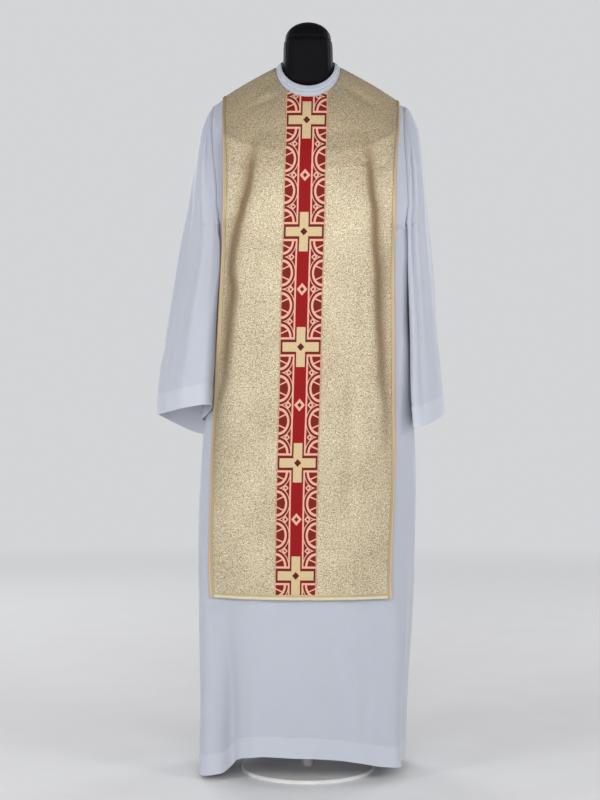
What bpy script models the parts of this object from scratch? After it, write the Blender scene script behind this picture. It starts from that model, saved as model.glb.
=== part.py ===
import math

import bmesh
import bpy
import numpy as np
from mathutils import Vector

# A dalmatic outfit on a limbless dress form: a pale sleeved robe, and over it a gold brocade panel,
# front and back, with a red and gold band down the front. Metres, +Z up, the front faces -Y.
# The origin is on the floor under the middle of the stand.
#
# The body of the robe is a stack of rings. A ring has a number, 0 at the neck, and a point on it has a
# turn in degrees: 0 at +X, 90 at the front, 180 at -X and 270 at the back. The panels, the band and the
# edging lie on the same rings, moved out. A sleeve is a stack of loops, 0 at the shoulder tip, whose turn
# is 0 on the outside, 90 at the front fold and 180 on the inside, and negative on the back half.

SEAM_GAP = 0.0003
ROBE_WALL = 0.0014
BROCADE_WALL = 0.0014
TRIM_WALL = 0.0010
LAY_GAP = 0.0004

TIP_X, TIP_Z = 0.2115, 1.4930
PIT_X, PIT_Z = 0.2350, 1.2120

RING_COLUMNS = ("side_z", "front_z", "back_z", "left", "right", "front", "back", "square",
                "panel_left", "panel_right")
RINGS = [
    (1.5765, 1.5030, 1.5880, 0.0710, 0.0710, 0.0830, 0.0660, 2.00, 0.2100, 0.2200),
    (1.5615, 1.4820, 1.5720, 0.1000, 0.1000, 0.0980, 0.0830, 2.10, 0.2030, 0.2150),
    (1.5455, 1.4580, 1.5530, 0.1300, 0.1300, 0.1100, 0.0960, 2.20, 0.1970, 0.2110),
    (1.5280, 1.4310, 1.5300, 0.1600, 0.1600, 0.1200, 0.1060, 2.30, 0.1920, 0.2075),
    (1.5090, 1.4020, 1.5020, 0.1890, 0.1890, 0.1280, 0.1130, 2.40, 0.1890, 0.2050),
    (1.4985, 1.3880, 1.4880, 0.2030, 0.2030, 0.1310, 0.1155, 2.45, 0.1865, 0.2015),
    (TIP_Z, 1.3780, 1.4780, TIP_X, TIP_X, 0.1330, 0.1170, 2.50, 0.1858, 0.1988),
    (1.4810, 1.3620, 1.4640, 0.2150, 0.2150, 0.1350, 0.1190, 2.55, 0.1848, 0.1962),
    (1.4600, 1.3450, 1.4420, 0.2210, 0.2210, 0.1370, 0.1210, 2.60, 0.1840, 0.1938),
    (1.4330, 1.3280, 1.4150, 0.2280, 0.2280, 0.1385, 0.1220, 2.65, 0.1836, 0.1922),
    (1.4020, 1.3080, 1.3820, 0.2350, 0.2350, 0.1400, 0.1230, 2.70, 0.1833, 0.1912),
    (1.3580, 1.2830, 1.3400, 0.2400, 0.2400, 0.1415, 0.1235, 2.75, 0.1833, 0.1904),
    (1.3060, 1.2550, 1.2950, 0.2410, 0.2410, 0.1425, 0.1230, 2.75, 0.1834, 0.1896),
    (1.2560, 1.2280, 1.2520, 0.2385, 0.2385, 0.1430, 0.1220, 2.70, 0.1840, 0.1891),
    (PIT_Z, 1.2000, 1.2100, PIT_X, PIT_X, 0.1435, 0.1210, 2.60, 0.1862, 0.1890),
    (1.1400, 1.1350, 1.1400, 0.2285, 0.2300, 0.1445, 0.1200, 2.55, 0.1915, 0.1890),
    (1.0400, 1.0400, 1.0400, 0.2250, 0.2285, 0.1460, 0.1200, 2.50, 0.1977, 0.1896),
    (0.9300, 0.9300, 0.9300, 0.2245, 0.2300, 0.1470, 0.1210, 2.50, 0.2024, 0.1898),
    (0.8300, 0.8300, 0.8300, 0.2285, 0.2340, 0.1480, 0.1240, 2.50, 0.2062, 0.1894),
    (0.7400, 0.7400, 0.7400, 0.2365, 0.2400, 0.1485, 0.1280, 2.50, 0.2085, 0.1877),
    (0.6200, 0.6200, 0.6200, 0.2425, 0.2420, 0.1490, 0.1350, 2.50, 0.2092, 0.1837),
    (0.4800, 0.4800, 0.4800, 0.2432, 0.2405, 0.1495, 0.1450, 2.50, 0.2098, 0.1774),
    (0.3400, 0.3400, 0.3400, 0.2385, 0.2355, 0.1490, 0.1560, 2.55, 0.2030, 0.1762),
    (0.2000, 0.2000, 0.2000, 0.2352, 0.2265, 0.1480, 0.1670, 2.65, 0.2030, 0.1762),
    (0.0900, 0.0900, 0.0900, 0.2385, 0.2222, 0.1470, 0.1750, 2.75, 0.2030, 0.1762),
    (0.0220, 0.0220, 0.0220, 0.2382, 0.2208, 0.1480, 0.1800, 2.85, 0.2030, 0.1762),
]
TIP_RING, PIT_RING, HEM_RING = 6, 14, 25

# The long soft folds of the robe: where each one starts and ends, its half width in degrees and its depth.
# A panel over the robe bridges the lower folds, and follows only the last column's share of them.
FOLD_COLUMNS = ("top_turn", "top_z", "foot_turn", "foot_z", "half_width", "depth", "head_fade",
                "foot_fade", "panel_share")
FOLDS = [
    (137, 1.420, 146, 0.640, 11, -0.0070, 0.50, 0.30, 1.0),
    (40, 1.470, 45, 0.640, 11, -0.0060, 0.50, 0.30, 1.0),
    (158, 1.290, 158, 0.760, 14, -0.0150, 0.14, 0.25, 0.1),
    (23, 1.280, 22, 0.900, 12, -0.0080, 0.18, 0.40, 0.1),
    (203, 1.280, 203, 0.900, 12, -0.0080, 0.18, 0.40, 0.1),
    (337, 1.280, 338, 0.900, 12, -0.0080, 0.18, 0.40, 0.1),
    (160, 0.800, 152, -0.02, 15, 0.0220, 0.75, 0, 1.0),
    (136, 0.460, 131, -0.02, 8, -0.0300, 0.75, 0, 0.2),
    (112, 0.500, 114, -0.02, 14, 0.0080, 0.75, 0, 1.0),
    (42, 0.640, 36, -0.02, 11, 0.0140, 0.75, 0, 1.0),
    (14, 0.700, 12, -0.02, 12, -0.0110, 0.75, 0, 0.2),
    (200, 0.800, 196, -0.02, 9, -0.0150, 0.75, 0, 0.2),
    (214, 0.700, 215, -0.02, 12, 0.0170, 0.75, 0, 1.0),
    (240, 0.800, 236, -0.02, 10, -0.0240, 0.75, 0, 0.2),
    (256, 0.750, 258, -0.02, 12, 0.0170, 0.75, 0, 1.0),
    (284, 0.700, 279, -0.02, 9, -0.0190, 0.75, 0, 0.2),
    (300, 0.800, 301, -0.02, 12, 0.0200, 0.75, 0, 1.0),
    (326, 0.750, 322, -0.02, 10, -0.0230, 0.75, 0, 0.2),
    (341, 0.700, 343, -0.02, 11, 0.0130, 0.75, 0, 1.0),
]

# How far the hem is lifted above the lowest ring at each turn, and how high that reaches up the cloth.
HEM_LIFTS = {0: 0.004, 30: 0.006, 52: 0.013, 70: 0.027, 90: 0.039, 107: 0.044, 120: 0.037,
             128: 0.024, 138: -0.008, 150: -0.015, 165: -0.015, 180: 0.000, 215: 0.006, 236: 0.014,
             258: 0.004, 279: 0.012, 301: 0.003, 322: 0.010, 343: 0.002}
HEM_REACH = 0.28

SLEEVE_COLUMNS = ("outer_x", "outer_z", "front_x", "front_z", "front_y", "back_x", "back_z", "back_y",
                  "inner_x", "inner_z")
SLEEVES = {
    "right": [
        (TIP_X, TIP_Z, TIP_X, TIP_Z, 0.000, TIP_X, TIP_Z, 0.000, TIP_X, TIP_Z),
        (0.2235, 1.4870, 0.2125, 1.4512, 0.031, 0.2125, 1.4770, 0.029, 0.2015, 1.4154),
        (0.2400, 1.4570, 0.2135, 1.4153, 0.052, 0.2135, 1.4530, 0.047, 0.1892, 1.3736),
        (0.2500, 1.4310, 0.2148, 1.3822, 0.067, 0.2148, 1.4243, 0.060, 0.1826, 1.3334),
        (0.2553, 1.3950, 0.2165, 1.3503, 0.078, 0.2165, 1.3910, 0.069, 0.1810, 1.3056),
        (0.2607, 1.3500, 0.2182, 1.3124, 0.086, 0.2182, 1.3470, 0.077, 0.1840, 1.2748),
        (0.2658, 1.2960, 0.2197, 1.2737, 0.091, 0.2197, 1.2990, 0.082, 0.1990, 1.2514),
        (0.2697, 1.2560, 0.2205, 1.2390, 0.092, 0.2205, 1.2540, 0.086, 0.2200, 1.2220),
        (0.2730, 1.2250, 0.2212, 1.2130, 0.093, 0.2212, 1.2200, 0.089, PIT_X, PIT_Z),
        (0.2773, 1.1850, 0.2220, 1.1800, 0.094, 0.2220, 1.1820, 0.091, 0.2385, 1.1800),
        (0.2830, 1.1280, 0.2240, 1.1280, 0.096, 0.2240, 1.1280, 0.093, 0.2380, 1.1260),
        (0.2875, 1.0600, 0.2280, 1.0600, 0.099, 0.2280, 1.0600, 0.096, 0.2370, 1.0600),
        (0.2917, 0.9930, 0.2305, 0.9930, 0.102, 0.2305, 0.9930, 0.100, 0.2372, 0.9930),
        (0.2980, 0.9260, 0.2320, 0.9260, 0.106, 0.2320, 0.9260, 0.104, 0.2385, 0.9260),
        (0.3044, 0.8580, 0.2340, 0.8480, 0.110, 0.2340, 0.8400, 0.109, 0.2420, 0.8550),
        (0.3080, 0.8090, 0.2382, 0.7800, 0.114, 0.2382, 0.7660, 0.113, 0.2475, 0.7880),
    ],
    "left": [
        (TIP_X, TIP_Z, TIP_X, TIP_Z, 0.000, TIP_X, TIP_Z, 0.000, TIP_X, TIP_Z),
        (0.2232, 1.4740, 0.2135, 1.4565, 0.029, 0.2135, 1.4775, 0.026, 0.2038, 1.4390),
        (0.2365, 1.4460, 0.2120, 1.4121, 0.055, 0.2135, 1.4530, 0.047, 0.1875, 1.3782),
        (0.2428, 1.4200, 0.2090, 1.3752, 0.073, 0.2130, 1.4240, 0.061, 0.1752, 1.3304),
        (0.2490, 1.3900, 0.2045, 1.3409, 0.087, 0.2130, 1.3903, 0.071, 0.1600, 1.2918),
        (0.2560, 1.3500, 0.2010, 1.3036, 0.096, 0.2140, 1.3464, 0.079, 0.1600, 1.2572),
        (0.2642, 1.2960, 0.2003, 1.2675, 0.100, 0.2155, 1.2986, 0.084, 0.1830, 1.2390),
        (0.2703, 1.2560, 0.2005, 1.2356, 0.101, 0.2170, 1.2534, 0.087, 0.2120, 1.2152),
        (0.2760, 1.2250, 0.2008, 1.2120, 0.101, 0.2180, 1.2200, 0.089, PIT_X, PIT_Z),
        (0.2840, 1.1850, 0.1965, 1.1800, 0.101, 0.2190, 1.1820, 0.091, 0.2390, 1.1800),
        (0.2940, 1.1280, 0.1980, 1.1280, 0.102, 0.2205, 1.1280, 0.093, 0.2370, 1.1260),
        (0.3054, 1.0600, 0.2050, 1.0600, 0.105, 0.2220, 1.0600, 0.096, 0.2345, 1.0600),
        (0.3168, 0.9930, 0.2105, 0.9930, 0.108, 0.2225, 0.9930, 0.100, 0.2340, 0.9930),
        (0.3282, 0.9260, 0.2155, 0.9260, 0.111, 0.2240, 0.9260, 0.104, 0.2345, 0.9260),
        (0.3374, 0.8580, 0.2225, 0.8700, 0.114, 0.2300, 0.8300, 0.109, 0.2375, 0.8560),
        (0.3395, 0.8030, 0.2245, 0.8300, 0.116, 0.2370, 0.7530, 0.112, 0.2410, 0.7920),
    ],
}
SLEEVE_PIT, SLEEVE_CUFF = 8, 15
SLEEVE_FULLNESS = 0.9

# How far round its loops a sleeve reaches each way before it meets the armhole. It is closed below 8.
SLEEVE_OPENINGS = {0: 90, 6: 90, 7: 100, 7.5: 120, 8: 180}
EDGE_RINGS = (6, 7, 8, 9, 10, 11, 12, 13, 13.5, 14)
PULL_REACH = 22

COLLAR_TOP = {"side_z": 1.5885, "front_z": 1.5310, "back_z": 1.6060,
              "half": 0.0605, "front": 0.0650, "back": 0.0590}
COLLAR_BULGE = 0.0030

PANEL_FOOT_Z = 0.4060
PANEL_RAISE = {0: 0.0022, 4: 0.0025, 6: 0.0036, 8: 0.0034, 11: 0.0038, 14: 0.0042, 18: 0.0062, 22: 0.0095}
BAND_CENTRES = {0: -0.0022, 7: -0.0060, 14: -0.0095, 16: -0.0145, 18: -0.0190, 20: -0.0250, 22: -0.0288}
BAND_HALF = 0.0438
PANEL_THREADS = (1.74, 1.46)
NECK_TURNS = (0, 18, 36)
PANEL_LEVELS = 16
PANEL_CROWDING = 1.6
PANEL_START = 0.06
SIDE_EDGING = 0.0080
HEM_BAND = 0.0120

FORM_EASE = 0.0120
FORM_REST = 0.0014
FORM_COLUMNS = ("side_z", "front_z", "back_z", "half", "front", "back", "square")
FORM_NECK = [
    (1.6405, 1.6405, 1.6405, 0.0505, 0.0505, 0.0505, 2.0),
    (1.6330, 1.6330, 1.6330, 0.0538, 0.0538, 0.0538, 2.0),
    (1.6200, 1.6200, 1.6200, 0.0550, 0.0550, 0.0550, 2.0),
    (1.5900, 1.5880, 1.5920, 0.0558, 0.0555, 0.0552, 2.0),
    (1.5720, 1.5400, 1.5860, 0.0585, 0.0570, 0.0550, 2.0),
]
FORM_TRUNK = [
    (1.4820, 1.3750, 1.4650, 0.1980, 0.1150, 0.1000, 2.4),
    (1.4450, 1.3450, 1.4300, 0.1965, 0.1180, 0.1020, 2.4),
    (1.3900, 1.3100, 1.3800, 0.1860, 0.1200, 0.1030, 2.4),
    (1.3100, 1.2600, 1.3050, 0.1700, 0.1180, 0.1000, 2.4),
    (1.2200, 1.2000, 1.2200, 0.1550, 0.1080, 0.0930, 2.3),
    (1.1200, 1.1200, 1.1200, 0.1450, 0.0980, 0.0880, 2.2),
    (1.0200, 1.0200, 1.0200, 0.1480, 0.0980, 0.0920, 2.2),
    (0.9200, 0.9200, 0.9200, 0.1600, 0.1050, 0.1000, 2.2),
    (0.8400, 0.8400, 0.8400, 0.1670, 0.1100, 0.1040, 2.2),
    (0.8050, 0.8050, 0.8050, 0.1620, 0.1060, 0.1000, 2.2),
]
CAP_HALF, CAP_FOOT_Z, CAP_HEIGHT = 0.0512, 1.6410, 0.0380

BASE_RADIUS, BASE_HEIGHT, BASE_EDGE = 0.1500, 0.0080, 0.0020
POLE_RADIUS = 0.0125

BODY_STEPS = 18
SLEEVE_TURNS = (0, 18, 36, 54, 72, 90, 120, 150, 180)
FORM_STEPS = 28

FINISHES = {
    "robe_cloth": ((0.56, 0.60, 0.67), 0.85, 0.0),
    "gold_brocade": ((0.55, 0.46, 0.24), 0.42, 0.3),
    "red_band": ((0.35, 0.02, 0.03), 0.50, 0.1),
    "gold_braid": ((0.62, 0.45, 0.26), 0.45, 0.2),
    "black_form": ((0.008, 0.008, 0.010), 0.28, 0.0),
    "white_steel": ((0.80, 0.80, 0.78), 0.35, 0.0),
}


def clear_scene():
    for thing in list(bpy.data.objects):
        bpy.data.objects.remove(thing, do_unlink=True)


def finish(name):
    material = bpy.data.materials.get(name)
    if material:
        return material
    colour, roughness, metallic = FINISHES[name]
    material = bpy.data.materials.new(name)
    material.use_nodes = True
    shader = material.node_tree.nodes["Principled BSDF"]
    shader.inputs["Base Color"].default_value = (*colour, 1)
    shader.inputs["Roughness"].default_value = roughness
    shader.inputs["Metallic"].default_value = metallic
    return material


def curve_through(values, at):
    """The value at a place between evenly spaced values, on a smooth curve through them."""
    last = len(values) - 1
    start = max(0, min(int(at), last - 1))
    part = at - start
    here, there = values[start], values[start + 1]
    before = values[start - 1] if start > 0 else 2 * here - there
    after = values[start + 2] if start + 2 <= last else 2 * there - here
    leave, arrive = (there - before) / 2, (after - here) / 2
    cube, square = part**3, part**2
    return (
        (2 * cube - 3 * square + 1) * here
        + (cube - 2 * square + part) * leave
        + (3 * square - 2 * cube) * there
        + (cube - square) * arrive
    )


def row_at(rows, columns, at):
    return {name: curve_through([row[i] for row in rows], at) for i, name in enumerate(columns)}


def between(table, at):
    """Straight interpolation in a table of places and values."""
    return float(np.interp(at, list(table), list(table.values())))


def soft_step(value):
    value = max(0.0, min(1.0, value))
    return value * value * (3 - 2 * value)


def rounded(value, power):
    return math.copysign(abs(value) ** power, value)


def oval(ring, half, turn):
    """A point on a squared oval that is lower or higher at its front and back than at its sides."""
    power = 2 / ring["square"]
    across = rounded(math.cos(math.radians(turn)), power)
    out = rounded(math.sin(math.radians(turn)), power)
    depth, end_z = (ring["front"], ring["front_z"]) if out > 0 else (ring["back"], ring["back_z"])
    rise = (end_z - ring["side_z"]) * abs(out)
    return Vector((half * across, -depth * out, ring["side_z"] + rise))


def fold_push(turn, z, panel):
    push = 0.0
    for row in FOLDS:
        fold = dict(zip(FOLD_COLUMNS, row))
        down = (fold["top_z"] - z) / (fold["top_z"] - fold["foot_z"])
        if down <= 0:
            continue
        middle = fold["top_turn"] + (fold["foot_turn"] - fold["top_turn"]) * min(down, 1)
        strength = soft_step(down / fold["head_fade"])
        if fold["foot_fade"]:
            strength *= soft_step((1 - down) / fold["foot_fade"])
        if panel:
            strength *= fold["panel_share"]
        away = (turn - middle + 180) % 360 - 180
        push += fold["depth"] * strength * math.exp(-((away / fold["half_width"]) ** 2))
    return push


def hem_lift(turn, z):
    turns = list(HEM_LIFTS) + [360]
    lifts = list(HEM_LIFTS.values()) + [HEM_LIFTS[0]]
    fade = max(0.0, 1 - z / HEM_REACH)
    return float(np.interp(turn % 360, turns, lifts)) * fade**1.5


def free_ring_point(number, turn, panel=False):
    """A point of the robe's body, or of a panel's ground over it, before the armholes pull on it."""
    ring = row_at(RINGS, RING_COLUMNS, number)
    half = ring["right"] if math.cos(math.radians(turn)) > 0 else ring["left"]
    point = oval(ring, half, turn)
    away = Vector((point.x / half**2, point.y / ring["front"] ** 2, 0)).normalized()
    place = point + away * fold_push(turn, point.z, panel)
    place.z += hem_lift(turn, point.z)
    return place


def sleeve_point(side, number, turn):
    loop = row_at(SLEEVES[side], SLEEVE_COLUMNS, number)
    across = rounded(math.cos(math.radians(turn)), SLEEVE_FULLNESS)
    out = rounded(math.sin(math.radians(turn)), SLEEVE_FULLNESS)
    fold = "front" if out > 0 else "back"
    edge_z = loop["outer_z"] if across > 0 else loop["inner_z"]
    mid_x = (loop["outer_x"] + loop["inner_x"]) / 2
    x = mid_x + (loop["outer_x"] - mid_x) * across + (loop[fold + "_x"] - mid_x) * out**2
    z = edge_z + (loop[fold + "_z"] - edge_z) * out**2
    return Vector((x if side == "right" else -x, -loop[fold + "_y"] * out, z))


def turn_at_x(number, x):
    """The turn on the front half of a ring at which the ring is as far out as x."""
    ring = row_at(RINGS, RING_COLUMNS, number)
    half = ring["right"] if x > 0 else ring["left"]
    turn = math.degrees(math.acos(min(1.0, abs(x) / half) ** (ring["square"] / 2)))
    return turn if x > 0 else 180 - turn


def armhole(number, side, face):
    """The turn and the place of an armhole's edge on a ring between the shoulder tip and the armpit."""
    loop = number - TIP_RING
    sign = 1 if face == "front" else -1
    place = sleeve_point(side, loop, sign * between(SLEEVE_OPENINGS, loop))
    turn = turn_at_x(number, place.x)
    return (turn if face == "front" else 360 - turn), place


def body_limits(number, face):
    """The first and last turn of the robe's front or back on a ring."""
    if not TIP_RING < number < PIT_RING:
        return (0.0, 180.0) if face == "front" else (180.0, 360.0)
    right, left = armhole(number, "right", face)[0], armhole(number, "left", face)[0]
    return (right, left) if face == "front" else (left, right)


def edge_pull(number, side, face):
    """How far the armhole's edge lies from the free ring, straight from one of its rings to the next."""
    pulls = []
    for ring in EDGE_RINGS:
        turn, edge = armhole(ring, side, face)
        ends = ring in (TIP_RING, PIT_RING)
        pulls.append((0, 0, 0) if ends else tuple(edge - free_ring_point(ring, turn)))
    return Vector([float(np.interp(number, EDGE_RINGS, values)) for values in zip(*pulls)])


def body_point(number, turn, panel=False):
    point = free_ring_point(number, turn, panel)
    if not TIP_RING < number < PIT_RING:
        return point
    face = "front" if turn <= 180 else "back"
    for side in ("right", "left"):
        near = soft_step(1 - abs(turn - armhole(number, side, face)[0]) / PULL_REACH)
        if near:
            point = point + edge_pull(number, side, face) * near
    return point


def panel_normal(number, turn):
    """The way out of a panel's ground at a point."""
    low, high = max(number - 0.15, 0), min(number + 0.15, HEM_RING)
    down = body_point(high, turn, True) - body_point(low, turn, True)
    face_low, face_high = (0, 180) if turn <= 180 else (180, 360)
    first, last = max(turn - 2, face_low), min(turn + 2, face_high)
    along = body_point(number, last, True) - body_point(number, first, True)
    return along.cross(down).normalized()


def panel_point(number, turn):
    return body_point(number, turn, True) + panel_normal(number, turn) * between(PANEL_RAISE, number)


class Sheet:
    """A piece of cloth as points and faces of its outer surface. Equal points are one point."""

    def __init__(self, name):
        self.name = name
        self.points = []
        self.faces = []
        self.known = {}

    def point(self, place):
        key = place_key(place)
        if key not in self.known:
            self.known[key] = len(self.points)
            self.points.append(Vector(place))
        return self.known[key]

    def face(self, corners):
        corners = [c for i, c in enumerate(corners) if c != corners[i - 1]]
        if len(set(corners)) >= 3:
            self.faces.append(corners)


def place_key(place):
    return tuple(round(value, 6) for value in place)


def sheet_from_rows(name, rows, ring=False):
    """A sheet through rows of points, each row as long as the next. It faces out when a row runs
    from +X over the front to -X and the rows run down."""
    sheet = Sheet(name)
    numbers = [[sheet.point(place) for place in row] for row in rows]
    for upper, lower in zip(numbers, numbers[1:]):
        steps = len(upper) if ring else len(upper) - 1
        for i in range(steps):
            j = (i + 1) % len(upper)
            sheet.face([upper[i], upper[j], lower[j], lower[i]])
    return sheet


def face_normal(points, corners):
    total = Vector((0, 0, 0))
    for i in range(1, len(corners) - 1):
        total += (points[corners[i]] - points[corners[0]]).cross(points[corners[i + 1]] - points[corners[0]])
    return total


def shared_normals(sheets):
    """One normal for each place, shared by all the sheets that meet there. A face counts by its angle."""
    sums = {}
    for sheet in sheets:
        for corners in sheet.faces:
            normal = face_normal(sheet.points, corners).normalized()
            for i, corner in enumerate(corners):
                place = sheet.points[corner]
                back, ahead = sheet.points[corners[i - 1]], sheet.points[corners[(i + 1) % len(corners)]]
                angle = (back - place).angle(ahead - place)
                key = place_key(place)
                sums[key] = sums.get(key, Vector((0, 0, 0))) + normal * angle
    return {key: total.normalized() for key, total in sums.items()}


def border_moves(sheet, ways):
    """How each point on a sheet's border moves away from the seam, to leave half of its gap."""
    edges = {(corners[i - 1], corner) for corners in sheet.faces for i, corner in enumerate(corners)}
    inward = {}
    for start, end in edges:
        if (end, start) in edges:
            continue
        edge = sheet.points[end] - sheet.points[start]
        side = (ways[start] + ways[end]).cross(edge).normalized()
        for corner in (start, end):
            inward.setdefault(corner, []).append(side)
    moves = {}
    for corner, sides in inward.items():
        total = sum(sides, Vector((0, 0, 0)))
        slack = max(total.dot(sides[0]), 0.35)
        moves[corner] = total * (SEAM_GAP / 2 / slack)
    borders = [pair for pair in edges if pair[::-1] not in edges]
    return moves, borders


def add_object(name, points, faces, material):
    mesh = bpy.data.meshes.new(name)
    mesh.from_pydata([tuple(p) for p in points], [], faces)
    mesh.validate()
    mesh.materials.append(finish(material))
    mesh.shade_smooth()
    mesh.set_sharp_from_angle(angle=math.radians(40))
    thing = bpy.data.objects.new(name, mesh)
    bpy.context.scene.collection.objects.link(thing)
    return thing


def add_wall(sheet, normals, low, high, material):
    """A closed wall between two heights over a sheet, with its borders drawn in by half a seam's gap."""
    ways = [normals[place_key(place)] for place in sheet.points]
    moves, borders = border_moves(sheet, ways)
    rest = Vector((0, 0, 0))
    base = [place + moves.get(i, rest) for i, place in enumerate(sheet.points)]
    count = len(base)
    points = [p + n * high for p, n in zip(base, ways)] + [p + n * low for p, n in zip(base, ways)]
    faces = [list(corners) for corners in sheet.faces]
    faces += [[corner + count for corner in reversed(corners)] for corners in sheet.faces]
    faces += [[end, start, start + count, end + count] for start, end in borders]
    triangles = []
    for corners in faces:
        if len(corners) == 3:
            triangles.append(corners)
        elif min(corners) >= count or max(corners) < count:
            outer = [c % count for c in corners]
            start = outer.index(min(outer))
            turned = corners[start:] + corners[:start]
            triangles += [[turned[0], turned[1], turned[2]], [turned[0], turned[2], turned[3]]]
        else:
            triangles += [corners[:3], [corners[0], corners[2], corners[3]]]
    return add_object(sheet.name, points, triangles, material)


def steps(first, last, count):
    return [first + (last - first) * i / count for i in range(count + 1)]


def body_sheet(face):
    numbers = sorted(set(range(HEM_RING + 1)) - {16} | {PIT_RING - 0.5})
    rows = []
    for number in numbers:
        first, last = body_limits(number, face)
        rows.append([body_point(number, turn) for turn in steps(first, last, BODY_STEPS)])
        if TIP_RING < number < PIT_RING:
            sides = ("right", "left") if face == "front" else ("left", "right")
            rows[-1][0] = armhole(number, sides[0], face)[1]
            rows[-1][-1] = armhole(number, sides[1], face)[1]
    return sheet_from_rows("robe_" + face, rows)


def sleeve_sheet(side):
    numbers = sorted(set(range(SLEEVE_CUFF + 1)) - {10, 12} | {SLEEVE_PIT - 0.5})
    rows = []
    for number in numbers:
        half = [min(turn, between(SLEEVE_OPENINGS, number)) for turn in SLEEVE_TURNS]
        row = [sleeve_point(side, number, turn) for turn in [-turn for turn in half[:0:-1]] + half]
        rows.append(row if side == "right" else row[::-1])
    return sheet_from_rows("robe_sleeve_" + side, rows)


def collar_sheet():
    top = {**COLLAR_TOP, "square": 2.0}
    turns = steps(0, 360, 2 * BODY_STEPS)[:-1]
    rows = []
    for height in (1.0, 0.55, 0.0):
        row = []
        for turn in turns:
            foot, head = body_point(0, turn), oval(top, top["half"], turn)
            out = Vector((foot.x, foot.y, 0)).normalized()
            bulge = COLLAR_BULGE * math.sin(math.pi * height)
            row.append(foot.lerp(head, height) + out * bulge)
        rows.append(row)
    return sheet_from_rows("robe_collar", rows, ring=True)


def make_robe():
    sheets = [body_sheet("front"), body_sheet("back"), sleeve_sheet("left"), sleeve_sheet("right"),
              collar_sheet()]
    normals = shared_normals(sheets)
    for sheet in sheets:
        add_wall(sheet, normals, -ROBE_WALL, 0, "robe_cloth")


def ring_where(test, first, last):
    """The ring number at which a test stops being true, by halving."""
    for _ in range(40):
        middle = (first + last) / 2
        if test(middle):
            first = middle
        else:
            last = middle
    return last


def panel_line(number, share):
    """The x of one of the panel's threads on a ring. The share is 0 on the band's centre line, 1 at
    the band's edge, 2 at the side edging's inner edge and 3 at the panel's own edge."""
    ring = row_at(RINGS, RING_COLUMNS, number)
    centre = between(BAND_CENTRES, number)
    side = 1 if share > 0 else -1
    edge = ring["panel_right"] if share > 0 else -ring["panel_left"]
    stops = [centre, centre + side * BAND_HALF, edge - side * SIDE_EDGING, edge]
    return float(np.interp(abs(share), (0, 1, 2, 3), stops))


def neck_share(side, turn):
    """The share of the thread that starts at a turn round the neck, counted from the shoulder."""
    neck = row_at(RINGS, RING_COLUMNS, PANEL_START)
    reach = (neck["right"] if side > 0 else neck["left"]) * math.cos(math.radians(turn))
    return side * ring_where(lambda share: abs(panel_line(PANEL_START, side * share)) < reach, 0, 2)


def panel_thread(share, foot):
    """The ring numbers and turns down one thread of the front panel, from the neck or shoulder to a
    ring. They lie close together over the shoulder's ridge."""
    def inside(number):
        ring = row_at(RINGS, RING_COLUMNS, number)
        return (ring["right"] if share > 0 else ring["left"]) <= abs(panel_line(number, share))

    on_shoulder = inside(PANEL_START)
    start = ring_where(inside, PANEL_START, TIP_RING) if on_shoulder else PANEL_START
    places = []
    for level in range(PANEL_LEVELS + 1):
        number = start + (foot - start) * (level / PANEL_LEVELS) ** PANEL_CROWDING
        turn = turn_at_x(number, panel_line(number, share))
        if level == 0 and on_shoulder:
            turn = 0.0 if share > 0 else 180.0
        places.append((number, turn))
    return places


def panel_shares(face):
    half = {}
    for side in (1, -1):
        inner = [1, 0.5] if face == "front" else [0.7]
        outer = [3, 2, *PANEL_THREADS]
        neck = [abs(neck_share(side, turn)) for turn in NECK_TURNS]
        half[side] = [side * share for share in (*outer, *neck, *inner)]
    return half[1] + [0] + half[-1][::-1]


def panel_foot(drop=0.0):
    return ring_where(lambda number: row_at(RINGS, RING_COLUMNS, number)["front_z"] > PANEL_FOOT_Z + drop,
                      PIT_RING, HEM_RING)


def panel_sheet(face):
    foot, band_top = panel_foot(), panel_foot(HEM_BAND)
    columns = []
    for share in panel_shares(face):
        places = panel_thread(share, band_top)
        places.append((foot, turn_at_x(foot, panel_line(foot, share))))
        if face == "back":
            places = [(number, 360 - turn) for number, turn in places]
        columns.append([panel_point(number, turn) for number, turn in places])
    if face == "back":
        columns.reverse()
    return sheet_from_rows("panel_" + face, [list(row) for row in zip(*columns)]), columns


def sub_sheet(name, columns, first, last, top, foot):
    rows = [[column[level] for column in columns[first:last + 1]] for level in range(top, foot + 1)]
    return sheet_from_rows(name, rows)


def make_panels():
    front, front_columns = panel_sheet("front")
    back, back_columns = panel_sheet("back")
    normals = shared_normals([front, back])
    add_wall(front, normals, 0, BROCADE_WALL, "gold_brocade")
    add_wall(back, normals, 0, BROCADE_WALL, "gold_brocade")
    low, high = BROCADE_WALL + LAY_GAP, BROCADE_WALL + LAY_GAP + TRIM_WALL
    levels = len(front_columns[0]) - 1
    for face, columns in (("front", front_columns), ("back", back_columns)):
        last = len(columns) - 1
        ends = ("right", "left") if face == "front" else ("left", "right")
        strips = [
            sub_sheet(f"edging_{face}_{ends[0]}", columns, 0, 1, 0, levels),
            sub_sheet(f"edging_{face}_{ends[1]}", columns, last - 1, last, 0, levels),
            sub_sheet("hem_band_" + face, columns, 1, last - 1, levels - 1, levels),
        ]
        for strip in strips:
            add_wall(strip, normals, low, high, "gold_braid")
    middle = len(front_columns) // 2
    band = sub_sheet("orphrey_front", front_columns, middle - 2, middle + 2, 0, levels - 1)
    add_wall(band, normals, low, high, "red_band")


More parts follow.
